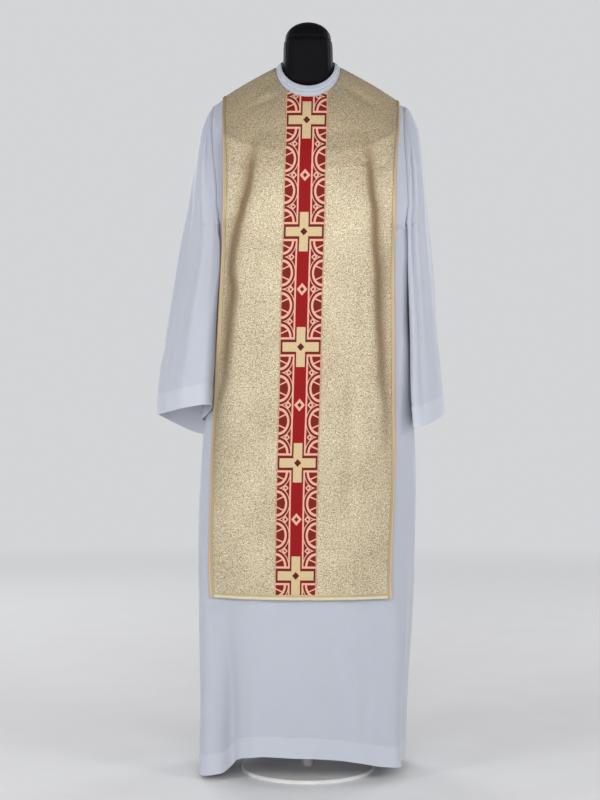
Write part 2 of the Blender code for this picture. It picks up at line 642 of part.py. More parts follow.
def form_shoulder(number, turn):
    """The dress form just under the robe's shoulders, and further in at the chest and back."""
    ring = row_at(RINGS, RING_COLUMNS, number)
    out = abs(math.sin(math.radians(turn)))
    inset = ROBE_WALL + FORM_REST + FORM_EASE * out**2
    outer = oval(ring, ring["right"], turn)
    step = oval(ring, ring["right"], turn + 1) - oval(ring, ring["right"], turn - 1)
    lower = row_at(RINGS, RING_COLUMNS, number + 0.2)
    down = oval(lower, lower["right"], turn) - outer
    return outer + down.cross(step).normalized() * inset


def make_form():
    turns = steps(0, 360, FORM_STEPS)[:-1]
    rows = []
    for values in FORM_NECK:
        ring = dict(zip(FORM_COLUMNS, values))
        rows.append([oval(ring, ring["half"], turn) for turn in turns])
    for number in (0.7, 1.5, 2.3, 3.1, 3.8):
        rows.append([form_shoulder(number, turn) for turn in turns])
    for values in FORM_TRUNK:
        ring = dict(zip(FORM_COLUMNS, values))
        rows.append([oval(ring, ring["half"], turn) for turn in turns])
    count = len(turns)
    points = [place for row in rows for place in row]
    faces = []
    for level in range(len(rows) - 1):
        for i in range(count):
            j = (i + 1) % count
            faces.append([level * count + i, level * count + j, (level + 1) * count + j,
                          (level + 1) * count + i])
    faces.append(list(range(count))[::-1])
    faces.append([(len(rows) - 1) * count + i for i in range(count)])
    add_object("form_torso", points, faces, "black_form")


def turned_solid(name, profile, count, material):
    """A solid turned round the Z axis through (radius, z) pairs, from its top centre to its foot."""
    mesh = bmesh.new()
    spine = [mesh.verts.new((radius, 0, z)) for radius, z in profile]
    edges = [mesh.edges.new(pair) for pair in zip(spine, spine[1:])]
    bmesh.ops.spin(mesh, geom=spine + edges, axis=(0, 0, 1), cent=(0, 0, 0), angle=math.tau,
                   steps=count, use_merge=True)
    bmesh.ops.remove_doubles(mesh, verts=mesh.verts, dist=0.00001)
    bmesh.ops.recalc_face_normals(mesh, faces=mesh.faces)
    data = bpy.data.meshes.new(name)
    mesh.to_mesh(data)
    mesh.free()
    data.materials.append(finish(material))
    data.shade_smooth()
    data.set_sharp_from_angle(angle=math.radians(40))
    thing = bpy.data.objects.new(name, data)
    bpy.context.scene.collection.objects.link(thing)
    return thing


def make_cap():
    profile = []
    for step in range(9):
        angle = math.radians(90 - 90 * step / 8)
        profile.append((CAP_HALF * math.cos(angle), CAP_FOOT_Z + CAP_HEIGHT * math.sin(angle)))
    profile.append((0, CAP_FOOT_Z))
    turned_solid("form_cap", profile, 24, "black_form")


def make_stand():
    foot_z = FORM_TRUNK[-1][0]
    pole_foot, pole_top = BASE_HEIGHT + SEAM_GAP, foot_z - SEAM_GAP
    turned_solid("stand_pole", [(0, pole_top), (POLE_RADIUS, pole_top), (POLE_RADIUS, pole_foot),
                                (0, pole_foot)], 20, "white_steel")
    inner = BASE_RADIUS - BASE_EDGE
    turned_solid("stand_base", [(0, BASE_HEIGHT), (inner, BASE_HEIGHT),
                                (BASE_RADIUS, BASE_HEIGHT - BASE_EDGE), (BASE_RADIUS, 0), (0, 0)],
                 40, "white_steel")


clear_scene()
make_robe()
make_panels()
make_form()
make_cap()
make_stand()
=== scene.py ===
# A dalmatic outfit on a limbless dress form: a pale robe with wide sleeves, a gold brocade panel over it
# front and back, and a red and gold band down the front. +Z is up and the front faces -Y. Lengths are in
# metres, but the tables of shapes, folds and creases are in millimetres. A ring of the robe has a number,
# 0 at the neck and 25 at the hem. A turn is in degrees: 0 at +X, 90 at the front, 180 at -X, 270 at the
# back. A sleeve's loops run from 0 at the shoulder to 15 at the cuff.

import math

import bmesh
import bpy
import numpy as np
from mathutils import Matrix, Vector


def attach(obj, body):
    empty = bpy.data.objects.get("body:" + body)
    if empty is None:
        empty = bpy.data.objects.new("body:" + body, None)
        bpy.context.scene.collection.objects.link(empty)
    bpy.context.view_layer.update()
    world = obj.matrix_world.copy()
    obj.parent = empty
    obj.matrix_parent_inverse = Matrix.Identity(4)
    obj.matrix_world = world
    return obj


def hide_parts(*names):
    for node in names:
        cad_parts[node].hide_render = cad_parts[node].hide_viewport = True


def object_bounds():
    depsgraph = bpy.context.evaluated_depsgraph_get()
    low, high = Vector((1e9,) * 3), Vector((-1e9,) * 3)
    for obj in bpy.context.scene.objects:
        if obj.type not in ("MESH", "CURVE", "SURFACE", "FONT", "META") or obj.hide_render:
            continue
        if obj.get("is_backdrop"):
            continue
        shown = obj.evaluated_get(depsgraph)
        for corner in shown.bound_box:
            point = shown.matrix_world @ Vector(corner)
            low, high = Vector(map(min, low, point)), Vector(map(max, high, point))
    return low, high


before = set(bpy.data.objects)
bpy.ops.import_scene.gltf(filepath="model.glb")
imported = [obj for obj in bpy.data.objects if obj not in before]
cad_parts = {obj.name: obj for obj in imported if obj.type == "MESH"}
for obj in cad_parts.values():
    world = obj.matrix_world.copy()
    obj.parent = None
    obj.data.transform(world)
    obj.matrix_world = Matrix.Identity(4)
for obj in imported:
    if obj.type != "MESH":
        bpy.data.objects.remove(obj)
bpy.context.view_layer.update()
print("stage 1: frame loaded,", len(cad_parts), "nodes")

faces, sides = ("front", "back"), ("right", "left")

bodyForm = {
    "tip": 6, "pit": 14, "hem": 25,  # the rings of the shoulders' tips, armpits and hem
    "columns": ("sideZ", "frontZ", "backZ", "left", "right", "front", "back", "square", "panelLeft",
                "panelRight"),
    "rings": np.array([
        (1576.5, 1503, 1588, 71, 71, 83, 66, 2, 210, 220),
        (1561.5, 1482, 1572, 100, 100, 98, 83, 2.1, 203, 215),
        (1545.5, 1458, 1553, 130, 130, 110, 96, 2.2, 197, 211),
        (1528, 1431, 1530, 160, 160, 120, 106, 2.3, 192, 207.5),
        (1509, 1402, 1502, 189, 189, 128, 113, 2.4, 189, 205),
        (1498.5, 1388, 1488, 203, 203, 131, 115.5, 2.45, 186.5, 201.5),
        (1493, 1378, 1478, 211.5, 211.5, 133, 117, 2.5, 185.8, 198.8),
        (1481, 1362, 1464, 215, 215, 135, 119, 2.55, 184.8, 196.2),
        (1460, 1345, 1442, 221, 221, 137, 121, 2.6, 184, 193.8),
        (1433, 1328, 1415, 228, 228, 138.5, 122, 2.65, 183.6, 192.2),
        (1402, 1308, 1382, 235, 235, 140, 123, 2.7, 183.3, 191.2),
        (1358, 1283, 1340, 240, 240, 141.5, 123.5, 2.75, 183.3, 190.4),
        (1306, 1255, 1295, 241, 241, 142.5, 123, 2.75, 183.4, 189.6),
        (1256, 1228, 1252, 238.5, 238.5, 143, 122, 2.7, 184, 189.1),
        (1212, 1200, 1210, 235, 235, 143.5, 121, 2.6, 186.2, 189),
        (1140, 1135, 1140, 228.5, 230, 144.5, 120, 2.55, 191.5, 189),
        (1040, 1040, 1040, 225, 228.5, 146, 120, 2.5, 197.7, 189.6),
        (930, 930, 930, 224.5, 230, 147, 121, 2.5, 202.4, 189.8),
        (830, 830, 830, 228.5, 234, 148, 124, 2.5, 206.2, 189.4),
        (740, 740, 740, 236.5, 240, 148.5, 128, 2.5, 208.5, 187.7),
        (620, 620, 620, 242.5, 242, 149, 135, 2.5, 209.2, 183.7),
        (480, 480, 480, 243.2, 240.5, 149.5, 145, 2.5, 209.8, 177.4),
        (340, 340, 340, 238.5, 235.5, 149, 156, 2.55, 203, 176.2),
        (200, 200, 200, 235.2, 226.5, 148, 167, 2.65, 203, 176.2),
        (90, 90, 90, 238.5, 222.2, 147, 175, 2.75, 203, 176.2),
        (22, 22, 22, 238.2, 220.8, 148, 180, 2.85, 203, 176.2),
    ]) / ([1000] * 7 + [1] + [1000] * 2),
    # topTurn, topZ, footTurn, footZ, halfWidth, depth, headFade, footFade, panelShare
    "folds": [
        (137, 1420, 146, 640, 11, -7, 0.5, 0.3, 1),
        (40, 1470, 45, 640, 11, -6, 0.5, 0.3, 1),
        (158, 1290, 158, 760, 14, -15, 0.14, 0.25, 0.1),
        (23, 1280, 22, 900, 12, -8, 0.18, 0.4, 0.1),
        (203, 1280, 203, 900, 12, -8, 0.18, 0.4, 0.1),
        (337, 1280, 338, 900, 12, -8, 0.18, 0.4, 0.1),
        (160, 800, 152, -20, 15, 22, 0.75, 0, 1),
        (136, 460, 131, -20, 8, -30, 0.75, 0, 0.2),
        (112, 500, 114, -20, 14, 8, 0.75, 0, 1),
        (42, 640, 36, -20, 11, 14, 0.75, 0, 1),
        (14, 700, 12, -20, 12, -11, 0.75, 0, 0.2),
        (200, 800, 196, -20, 9, -15, 0.75, 0, 0.2),
        (214, 700, 215, -20, 12, 17, 0.75, 0, 1),
        (240, 800, 236, -20, 10, -24, 0.75, 0, 0.2),
        (256, 750, 258, -20, 12, 17, 0.75, 0, 1),
        (284, 700, 279, -20, 9, -19, 0.75, 0, 0.2),
        (300, 800, 301, -20, 12, 20, 0.75, 0, 1),
        (326, 750, 322, -20, 10, -23, 0.75, 0, 0.2),
        (341, 700, 343, -20, 11, 13, 0.75, 0, 1),
    ],
    "hemLifts": {0: 4, 30: 6, 52: 13, 70: 27, 90: 39, 107: 44, 120: 37, 128: 24, 138: -8, 150: -15, 165: -15,
                 180: 0, 215: 6, 236: 14, 258: 4, 279: 12, 301: 3, 322: 10, 343: 2, 360: 4},
    "hemReach": 0.28,
    "edgeRings": (6, 7, 8, 9, 10, 11, 12, 13, 13.5, 14),
    "pullReach": 22,
}

sleeveForm = {
    "columns": ("outerX", "outerZ", "frontX", "frontZ", "frontY", "backX", "backZ", "backY", "innerX",
                "innerZ"),
    "right": np.array([
        (211.5, 1493, 211.5, 1493, 0, 211.5, 1493, 0, 211.5, 1493),
        (223.5, 1487, 212.5, 1451.2, 31, 212.5, 1477, 29, 201.5, 1415.4),
        (240, 1457, 213.5, 1415.3, 52, 213.5, 1453, 47, 189.2, 1373.6),
        (250, 1431, 214.8, 1382.2, 67, 214.8, 1424.3, 60, 182.6, 1333.4),
        (255.3, 1395, 216.5, 1350.3, 78, 216.5, 1391, 69, 181, 1305.6),
        (260.7, 1350, 218.2, 1312.4, 86, 218.2, 1347, 77, 184, 1274.8),
        (265.8, 1296, 219.7, 1273.7, 91, 219.7, 1299, 82, 199, 1251.4),
        (269.7, 1256, 220.5, 1239, 92, 220.5, 1254, 86, 220, 1222),
        (273, 1225, 221.2, 1213, 93, 221.2, 1220, 89, 235, 1212),
        (277.3, 1185, 222, 1180, 94, 222, 1182, 91, 238.5, 1180),
        (283, 1128, 224, 1128, 96, 224, 1128, 93, 238, 1126),
        (287.5, 1060, 228, 1060, 99, 228, 1060, 96, 237, 1060),
        (291.7, 993, 230.5, 993, 102, 230.5, 993, 100, 237.2, 993),
        (298, 926, 232, 926, 106, 232, 926, 104, 238.5, 926),
        (304.4, 858, 234, 848, 110, 234, 840, 109, 242, 855),
        (308, 809, 238.2, 780, 114, 238.2, 766, 113, 247.5, 788),
    ]) / 1000,
    "left": np.array([
        (211.5, 1493, 211.5, 1493, 0, 211.5, 1493, 0, 211.5, 1493),
        (223.2, 1474, 213.5, 1456.5, 29, 213.5, 1477.5, 26, 203.8, 1439),
        (236.5, 1446, 212, 1412.1, 55, 213.5, 1453, 47, 187.5, 1378.2),
        (242.8, 1420, 209, 1375.2, 73, 213, 1424, 61, 175.2, 1330.4),
        (249, 1390, 204.5, 1340.9, 87, 213, 1390.3, 71, 160, 1291.8),
        (256, 1350, 201, 1303.6, 96, 214, 1346.4, 79, 160, 1257.2),
        (264.2, 1296, 200.3, 1267.5, 100, 215.5, 1298.6, 84, 183, 1239),
        (270.3, 1256, 200.5, 1235.6, 101, 217, 1253.4, 87, 212, 1215.2),
        (276, 1225, 200.8, 1212, 101, 218, 1220, 89, 235, 1212),
        (284, 1185, 196.5, 1180, 101, 219, 1182, 91, 239, 1180),
        (294, 1128, 198, 1128, 102, 220.5, 1128, 93, 237, 1126),
        (305.4, 1060, 205, 1060, 105, 222, 1060, 96, 234.5, 1060),
        (316.8, 993, 210.5, 993, 108, 222.5, 993, 100, 234, 993),
        (328.2, 926, 215.5, 926, 111, 224, 926, 104, 234.5, 926),
        (337.4, 858, 222.5, 870, 114, 230, 830, 109, 237.5, 856),
        (339.5, 803, 224.5, 830, 116, 237, 753, 112, 241, 792),
    ]) / 1000,
    "fullness": 0.9,
    "openings": {0: 90, 6: 90, 7: 100, 7.5: 120, 8: 180},
    "closed": 8,  # the first loop under the armpit
    "blend": 40,
}


def together(*values):
    return np.broadcast_arrays(*(np.asarray(value, float) for value in values))


def readTable(table, at):
    return np.interp(at, list(table), list(table.values()))


def readMillimetres(table, at):
    return readTable(table, at * 1000) / 1000


def softStep(value):
    value = np.clip(value, 0, 1)
    return value * value * (3 - 2 * value)


def stepBetween(value, off, on):
    return softStep((value - off) / (on - off))


def bell(value, width):
    return np.exp(-(value / width)**2)


def smoothBetween(part, here, there, leave, arrive):
    return ((2 * part**3 - 3 * part**2 + 1) * here + (part**3 - 2 * part**2 + part) * leave
            + (3 * part**2 - 2 * part**3) * there + (part**3 - part**2) * arrive)


def readRows(table, columns, at):  # a smooth curve through evenly spaced rows
    last = len(table) - 1
    start = np.clip(np.floor(at), 0, last - 1).astype(int)
    here, there = table[start], table[start + 1]
    before = np.where((start > 0)[..., None], table[np.maximum(start - 1, 0)], 2 * here - there)
    after = np.where((start + 2 <= last)[..., None], table[np.minimum(start + 2, last)], 2 * there - here)
    values = smoothBetween((at - start)[..., None], here, there, (there - before) / 2, (after - here) / 2)
    return {name: values[..., i] for i, name in enumerate(columns)}


def smoothThrough(places, values, at):  # the same, through unevenly spaced rows
    places = np.asarray(places, float)
    slopes = np.gradient(values, places, axis=0)
    start = np.clip(np.searchsorted(places, at, side="right") - 1, 0, len(places) - 2)
    span = (places[start + 1] - places[start])[..., None]
    part = np.clip((at - places[start])[..., None] / span, 0, 1)
    leave, arrive = span * slopes[start], span * slopes[start + 1]
    return smoothBetween(part, values[start], values[start + 1], leave, arrive)


def bodyRing(number):
    return readRows(bodyForm["rings"], bodyForm["columns"], number)


def roundWays(turn, power):  # across and out, 1 to -1, round a squarish loop
    angle = np.radians(turn)
    return (np.sign(way) * np.abs(way)**power for way in (np.cos(angle), np.sin(angle)))


def unitRows(vectors):
    return vectors / np.maximum(np.linalg.norm(vectors, axis=-1, keepdims=True), 1e-12)


def freePoint(number, turn, panel=False):  # the body before the armholes pull on it
    number, turn = together(number, turn)
    ring = bodyRing(number)
    across, out = roundWays(turn, 2 / ring["square"])
    half = np.where(across > 0, ring["right"], ring["left"])
    endZ = np.where(out > 0, ring["frontZ"], ring["backZ"])
    x, y = half * across, -np.where(out > 0, ring["front"], ring["back"]) * out
    z = ring["sideZ"] + (endZ - ring["sideZ"]) * np.abs(out)
    push = np.zeros_like(x)
    for topTurn, topZ, footTurn, footZ, halfWidth, depth, headFade, footFade, share in bodyForm["folds"]:
        down = (topZ - z * 1000) / (topZ - footZ)
        strength = softStep(down / headFade) * (softStep((1 - down) / footFade) if footFade else 1)
        away = (turn - topTurn - (footTurn - topTurn) * np.clip(down, 0, 1) + 180) % 360 - 180
        push += depth / 1000 * strength * (share if panel else 1) * bell(away, halfWidth)
    lift = readTable(bodyForm["hemLifts"], turn % 360) / 1000
    lift = lift * np.clip(1 - z / bodyForm["hemReach"], 0, None)**1.5
    outward = unitRows(np.stack([x / half**2, y / ring["front"]**2, np.zeros_like(x)], -1))
    return np.stack([x, y, z + lift], -1) + outward * push[..., None]


def sleeveBase(side, loop, turn):
    loop, turn = together(loop, turn)
    row = readRows(sleeveForm[side], sleeveForm["columns"], loop)
    across, out = roundWays(turn, sleeveForm["fullness"])
    foldX, foldY, foldZ = (np.where(out > 0, row["front" + axis], row["back" + axis]) for axis in "XYZ")
    edgeZ = np.where(across > 0, row["outerZ"], row["innerZ"])
    middle = (row["outerX"] + row["innerX"]) / 2
    x = middle + (row["outerX"] - middle) * across + (foldX - middle) * out**2
    return np.stack([x if side == "right" else -x, -foldY * out, edgeZ + (foldZ - edgeZ) * out**2], -1)


def turnAtX(number, x):
    ring = bodyRing(number)
    half = np.where(x > 0, ring["right"], ring["left"])
    turn = np.degrees(np.arccos(np.clip(np.abs(x) / half, 0, 1)**(ring["square"] / 2)))
    return np.where(x > 0, turn, 180 - turn)


def armholeBase(side, face, number):  # where the sleeve's own loop meets the body
    number = np.asarray(number, float)
    loop = number - bodyForm["tip"]
    opening = readTable(sleeveForm["openings"], loop)
    place = sleeveBase(side, loop, opening if face == "front" else -opening)
    turn = turnAtX(number, place[..., 0])
    return (turn if face == "front" else 360 - turn), place


def seamKnots(side, face):  # the armhole's turns and how far it pulls the body
    knots = []
    for ring in bodyForm["edgeRings"]:
        turn, place = armholeBase(side, face, ring)
        if ring in (bodyForm["tip"], bodyForm["pit"]):
            knots.append([np.round(turn / 180) * 180, 0, 0, 0])
        else:
            knots.append([turn, *(place - freePoint(ring, turn))])
    return np.array(knots, float)


armholes = {(side, face): seamKnots(side, face) for side in sides for face in faces}


def armhole(side, face, number):
    knots = smoothThrough(bodyForm["edgeRings"], armholes[side, face], number)
    return knots[..., 0], knots[..., 1:]


def openRing(number):  # whether armholes open a ring, and the ring to read
    tip, pit = bodyForm["tip"], bodyForm["pit"]
    return (number > tip) & (number < pit), np.clip(number, tip, pit)


def bodyPoint(number, turn, panel=False):
    number, turn = together(number, turn)
    point = freePoint(number, turn, panel)
    isOpen, ring = openRing(number)
    for side, face in armholes:
        seam, pull = armhole(side, face, ring)
        near = softStep(1 - np.abs(turn - seam) / bodyForm["pullReach"])
        point = point + pull * (near * isOpen * ((turn <= 180) == (face == "front")))[..., None]
    return point


def bodyLimits(number, face):  # the turns that a face of the body runs between
    isOpen, ring = openRing(number)
    right = np.where(isOpen, armhole("right", face, ring)[0], 0 if face == "front" else 360)
    left = np.where(isOpen, armhole("left", face, ring)[0], 180)
    return (right, left) if face == "front" else (left, right)


def sleevePoint(side, loop, turn):  # the loop, drawn onto the armhole where it is open
    loop, turn = together(loop, turn)
    point = sleeveBase(side, loop, turn)
    _, number = openRing(loop + bodyForm["tip"])
    opening = readTable(sleeveForm["openings"], loop)
    for face, sign in (("front", 1), ("back", -1)):
        seam, pull = armhole(side, face, number)
        gap = freePoint(number, seam) + pull - armholeBase(side, face, number)[1]
        near = softStep(1 - (opening - sign * turn) / sleeveForm["blend"]) * (loop < sleeveForm["closed"])
        point = point + gap * near[..., None]
    return point


def gridWays(points):  # the way out of a grid: +X to -X, and down
    ways = unitRows(np.cross(np.gradient(points, axis=1), np.gradient(points, axis=0)))
    for row, near in ((0, 1), (-1, -2)):
        if np.ptp(points[row], axis=0).max() < 1e-6:
            ways[row] = unitRows(ways[near].mean(0))
    return ways


def runLength(points, axis):
    steps = np.cumsum(np.linalg.norm(np.diff(points, axis=axis), axis=-1), axis)
    return np.insert(steps, 0, 0, axis)


def gridLengths(points, middle):  # metres across from a column, down the grid and from its nearer side
    across = runLength(points, 1)
    toSide = np.minimum(across, across[:, -1:] - across)
    return across - across[:, middle:middle + 1], runLength(points, 0), toSide


def linkMesh(name, mesh, *materials):
    for material in materials:
        mesh.materials.append(material)
    piece = bpy.data.objects.new(name, mesh)
    bpy.context.scene.collection.objects.link(piece)
    return piece


pieces, grids = {}, {}
seamHalf = 0.00015  # half of the gap between two sewn pieces
cornerPull = 0.35  # keeps a sharp corner from being drawn in by more than 2.4 times that
sharpFrom = math.radians(60)  # edges that turn by less are smooth


# A thin closed wall over a grid of points, between two heights. Points in one place become one point,
# and the wall's border is drawn in by half of a seam's gap.
def makeShell(name, grid, low, high, material, ring=False, shade=None):
    points, ways, uv = grid
    rows, columns = points.shape[:2]
    places, known = np.unique(np.round(points.reshape(-1, 3), 6), axis=0, return_inverse=True)
    known, count = known.reshape(-1), len(places)
    out = np.zeros((count, 3))
    np.add.at(out, known, ways.reshape(-1, 3))
    out = unitRows(out)
    index = np.arange(rows * columns).reshape(rows, columns)
    if ring:
        index = np.concatenate([index, index[:, :1]], 1)
    quads = np.stack([index[:-1, :-1], index[:-1, 1:], index[1:, 1:], index[1:, :-1]], -1).reshape(-1, 4)
    loops = [[quad[i] for i in range(4) if same[i] != same[i - 1]]
             for quad, same in zip(quads.tolist(), known[quads].tolist())]
    loops = [loop for loop in loops if len(loop) > 2]
    starts = np.array([corner for loop in loops for corner in loop])
    ends = np.array([corner for loop in loops for corner in loop[1:] + loop[:1]])
    there, back = known[starts] * count + known[ends], known[ends] * count + known[starts]
    rim = ~np.isin(there, back)
    starts, ends = starts[rim], ends[rim]
    a, b = known[starts], known[ends]
    inward = unitRows(np.cross(out[a] + out[b], places[b] - places[a]))
    total = np.zeros((count, 3))
    np.add.at(total, a, inward)
    np.add.at(total, b, inward)
    base = places + total * seamHalf / np.maximum((total**2).sum(-1, keepdims=True) / 2, cornerPull)
    polygons = [[known[corner] for corner in loop] for loop in loops]
    polygons += [[corner + count for corner in loop[::-1]] for loop in polygons]
    polygons += [[q, p, p + count, q + count] for p, q in zip(a.tolist(), b.tolist())]
    flat = [corner for loop in loops for corner in loop] + [corner for loop in loops for corner in loop[::-1]]
    flat += [corner for p, q in zip(starts.tolist(), ends.tolist()) for corner in (q, p, p, q)]
    mesh = bpy.data.meshes.new(name)
    mesh.from_pydata(np.concatenate([base + out * high, base + out * low]), [], polygons)
    coordinates = uv.reshape(-1, 2)[flat].astype(np.float32)
    mesh.uv_layers.new(name="UVMap").data.foreach_set("uv", coordinates.ravel())
    if shade is not None:
        shades = mesh.attributes.new("shade", "FLOAT", "CORNER")
        shades.data.foreach_set("value", shade.ravel()[flat].astype(np.float32))
    mesh.shade_smooth()
    mesh.set_sharp_from_angle(angle=sharpFrom)
    pieces[name], grids[name] = linkMesh(name, mesh, material), grid
    print(f"  {name}: {len(polygons)} faces, {sum(face.area for face in mesh.polygons) / 2:.3f} m2 of cloth")


# A crease has a lean and a line of (across, up, depth, width) nodes, all in millimetres but for the first on
# the robe, which is a turn in degrees. A depth below 0 is a valley. Its lean sets the soft ridge beside it.
creaseRidge = {"height": 0.45, "away": 2.1, "wide": 1.5}  # shares of the crease's depth and width


def creaseDepth(creases, across, up, scale):
    depth, up = np.zeros_like(up), up * 1000
    for lean, *nodes in creases:
        best, value = np.full(up.shape, 1e9), np.zeros_like(up)
        for one, two in zip(nodes, nodes[1:]):
            dx, dz = (two[0] - one[0]) * scale, two[1] - one[1]
            px, pz = (across - one[0]) * scale, up - one[1]
            part = np.clip((px * dx + pz * dz) / (dx * dx + dz * dz), 0, 1)
            gapX, gapZ = px - part * dx, pz - part * dz
            away = np.hypot(gapX, gapZ)
            signed = away * np.sign(gapX * dz - gapZ * dx)
            height, width = (one[i] + (two[i] - one[i]) * part for i in (2, 3))
            ridge = bell(signed - creaseRidge["away"] * width * np.sign(lean), creaseRidge["wide"] * width)
            ridge = ridge * creaseRidge["height"] * abs(lean)
            nearer = away < best
            value = np.where(nearer, height * (bell(away, width) - ridge), value)
            best = np.where(nearer, away, best)
        depth += value / 1000
    return depth


def unevenness(cloth, key, turns, across, up):  # the creases and a gentle ripple over the whole cloth
    ripple = sum(height * np.sin((across / wide + up / tall) * 2 * math.pi + phase)
                 for height, wide, tall, phase in cloth["waves"])
    return creaseDepth(cloth[key], turns, up, cloth["turnLength"]) * cloth["creaseGain"] + ripple


hemFold = {"rise": 0.0007, "soft": 0.003, "dip": 0.0009, "dipAbove": 0.001, "dipWide": 0.0022}


def hemStep(fromEdge, hem):  # the hem is two layers, with a line of stitches over it
    dip = bell(fromEdge - hem - hemFold["dipAbove"], hemFold["dipWide"])
    return hemFold["rise"] * softStep((hem - fromEdge) / hemFold["soft"]) - hemFold["dip"] * dip


robe = {
    "wall": 0.0009,
    "columns": 132,
    "step": 0.0056, "stepTurn": 60,  # how far the rows are apart, and the turn where that is measured
    "hem": 0.045,
    "turnLength": 3.5,  # about how far a degree is round the skirt
    "seamDip": 0.0007, "seamWide": 0.0030,
    "sideFade": 0.016, "neckFade": 0.02,  # the creases run out towards the seams
    # a span's first and last ring, how far the rows crowd to both, and how many times the rows it gets
    "spans": ((0, 6, 0, 1), (6, 14, 0.84, 1.25), (14, 25, 0, 1)),
    "creaseGain": 1.4,
    "waves": [(0.0006, 0.19, 0.83, 0.4), (0.0005, -0.11, 0.47, 2.1), (0.0003, 0.063, -0.29, 4.0)],
    "front": [
        (0, (29, 1262, 0, 22), (28, 1215, 7, 22), (27, 1170, 11, 24), (27, 1050, 10.5, 24),
         (27, 950, 8.5, 24), (27, 780, 0, 24)),
        (0, (21, 1225, 0, 12), (20, 1170, 3.5, 14), (19, 1100, 4.2, 14), (19, 1000, 4, 14),
         (19, 860, 2, 14), (19, 780, 0, 14)),
        (0, (149, 1250, 0, 20), (148, 1180, 6, 20), (147, 1050, 6.5, 20), (146, 950, 5, 20),
         (146, 820, 0, 20)),
        (0.6, (166.5, 385, 0, 6), (167, 335, -3, 6), (165, 285, -1.2, 7), (164, 250, 0, 7)),
        (-0.5, (44, 135, 0, 5), (37, 112, -1.8, 5), (29, 98, -1.5, 5), (22, 94, 0, 5)),
        (0.4, (122, 300, 0, 14), (119, 180, -2.6, 15), (117, 40, -3.4, 16), (116, -20, -3.6, 16)),
        (-0.4, (82, 400, 0, 18), (80, 240, -2.2, 18), (78, 50, -4, 20), (78, -20, -4, 20)),
        (0.5, (64, 330, 0, 12), (62, 200, -1.6, 12), (61, 60, -0.6, 12), (61, 0, 0, 12)),
        (0.5, (100, 220, 0, 10), (98, 120, -1.4, 10), (96, 30, 0, 10)),
        (-0.6, (148, 420, 0, 8), (145, 330, -2.2, 8), (143, 200, -1, 9), (142, 120, 0, 9)),
        (0.6, (33, 420, 0, 7), (30, 300, -2.6, 8), (25, 170, -2, 8), (20, 60, 0, 8)),
        (0.4, (176, 1100, 0, 10), (174, 950, -2.2, 10), (173, 750, -1.2, 11), (172, 580, 0, 11)),
        (-0.4, (6, 1120, 0, 9), (8, 970, -2.4, 9), (9, 800, -1.4, 10), (10, 620, 0, 10)),
        (0.5, (176, 1175, 0, 6), (171, 1130, -2.2, 6), (165, 1085, 0, 7)),
        (-0.5, (4, 1170, 0, 6), (9, 1120, -2.2, 6), (15, 1070, 0, 7)),
    ],
    "back": [
        (0.5, (203, 1400, 0, 10), (205, 1250, -3, 12), (206, 1050, -2.2, 12), (206, 850, 0, 12)),
        (-0.5, (336, 1380, 0, 10), (334, 1220, -2.8, 11), (333, 1020, -2, 12), (333, 840, 0, 12)),
        (0.4, (222, 420, 0, 14), (224, 280, -3, 14), (225, 100, -4, 15), (225, -20, -4, 15)),
        (-0.4, (247, 360, 0, 12), (249, 220, -2.4, 12), (250, 80, -3, 13), (250, -20, -3, 13)),
        (0.5, (266, 400, 0, 10), (268, 280, -2, 10), (270, 160, 0, 10)),
        (0.4, (292, 420, 0, 13), (291, 260, -2.6, 13), (290, 70, -3.6, 14), (290, -20, -3.6, 14)),
        (-0.5, (313, 400, 0, 10), (311, 250, -2.8, 11), (310, 80, -2.2, 12), (310, -20, -2, 12)),
        (0.6, (346, 580, 0, 8), (344, 440, -2.4, 9), (343, 280, -1, 10), (343, 170, 0, 10)),
        (-0.6, (193, 620, 0, 8), (195, 470, -2.6, 9), (196, 300, -1.4, 10), (197, 200, 0, 10)),
        (0.5, (184, 1175, 0, 6), (189, 1130, -2.4, 6), (195, 1090, 0, 7)),
        (-0.5, (356, 1170, 0, 6), (351, 1120, -2.2, 6), (345, 1080, 0, 7)),
        (0.6, (209, 170, 0, 6), (215, 150, -1.6, 6), (221, 142, 0, 6)),
    ],
}


fineSteps = 600  # places along a line that is measured


def bodyNumbers():  # ring numbers a step apart
    spans = []
    for first, last, crowd, share in robe["spans"]:
        fine = np.linspace(first, last, fineSteps)
        length = runLength(freePoint(fine, robe["stepTurn"]), 0)
        part = np.linspace(0, 1, int(length[-1] / robe["step"] * share) + 2)
        part = part - crowd * np.sin(2 * math.pi * part) / (2 * math.pi)
        spans.append(np.interp(part * length[-1], length, fine))
    return np.concatenate([spans[0][:-1], spans[1][:-1], spans[2]]), spans[1]


ringNumbers, armholeNumbers = bodyNumbers()


def bodyGrid(face):
    first, last = bodyLimits(ringNumbers, face)
    turns = first[:, None] + (last - first)[:, None] * np.linspace(0, 1, robe["columns"] + 1)
    points = bodyPoint(ringNumbers[:, None], turns)
    across, down, toSide = gridLengths(points, robe["columns"] // 2)
    fromHem = down[-1] - down
    under = creaseDepth(panels[face], points[..., 0] * 1000, points[..., 2], 1) * panels["creaseGain"]
    depth = unevenness(robe, face, turns, across, points[..., 2])
    depth += np.minimum(under + panels["slack"], 0)  # it gives way under the panel's creases
    depth *= softStep(toSide / robe["sideFade"]) * softStep(down / robe["neckFade"])
    depth += hemStep(fromHem, robe["hem"]) - robe["seamDip"] * bell(toSide, robe["seamWide"])
    points = points + gridWays(points) * depth[..., None]
    return points, gridWays(points), np.stack([across, fromHem], -1)


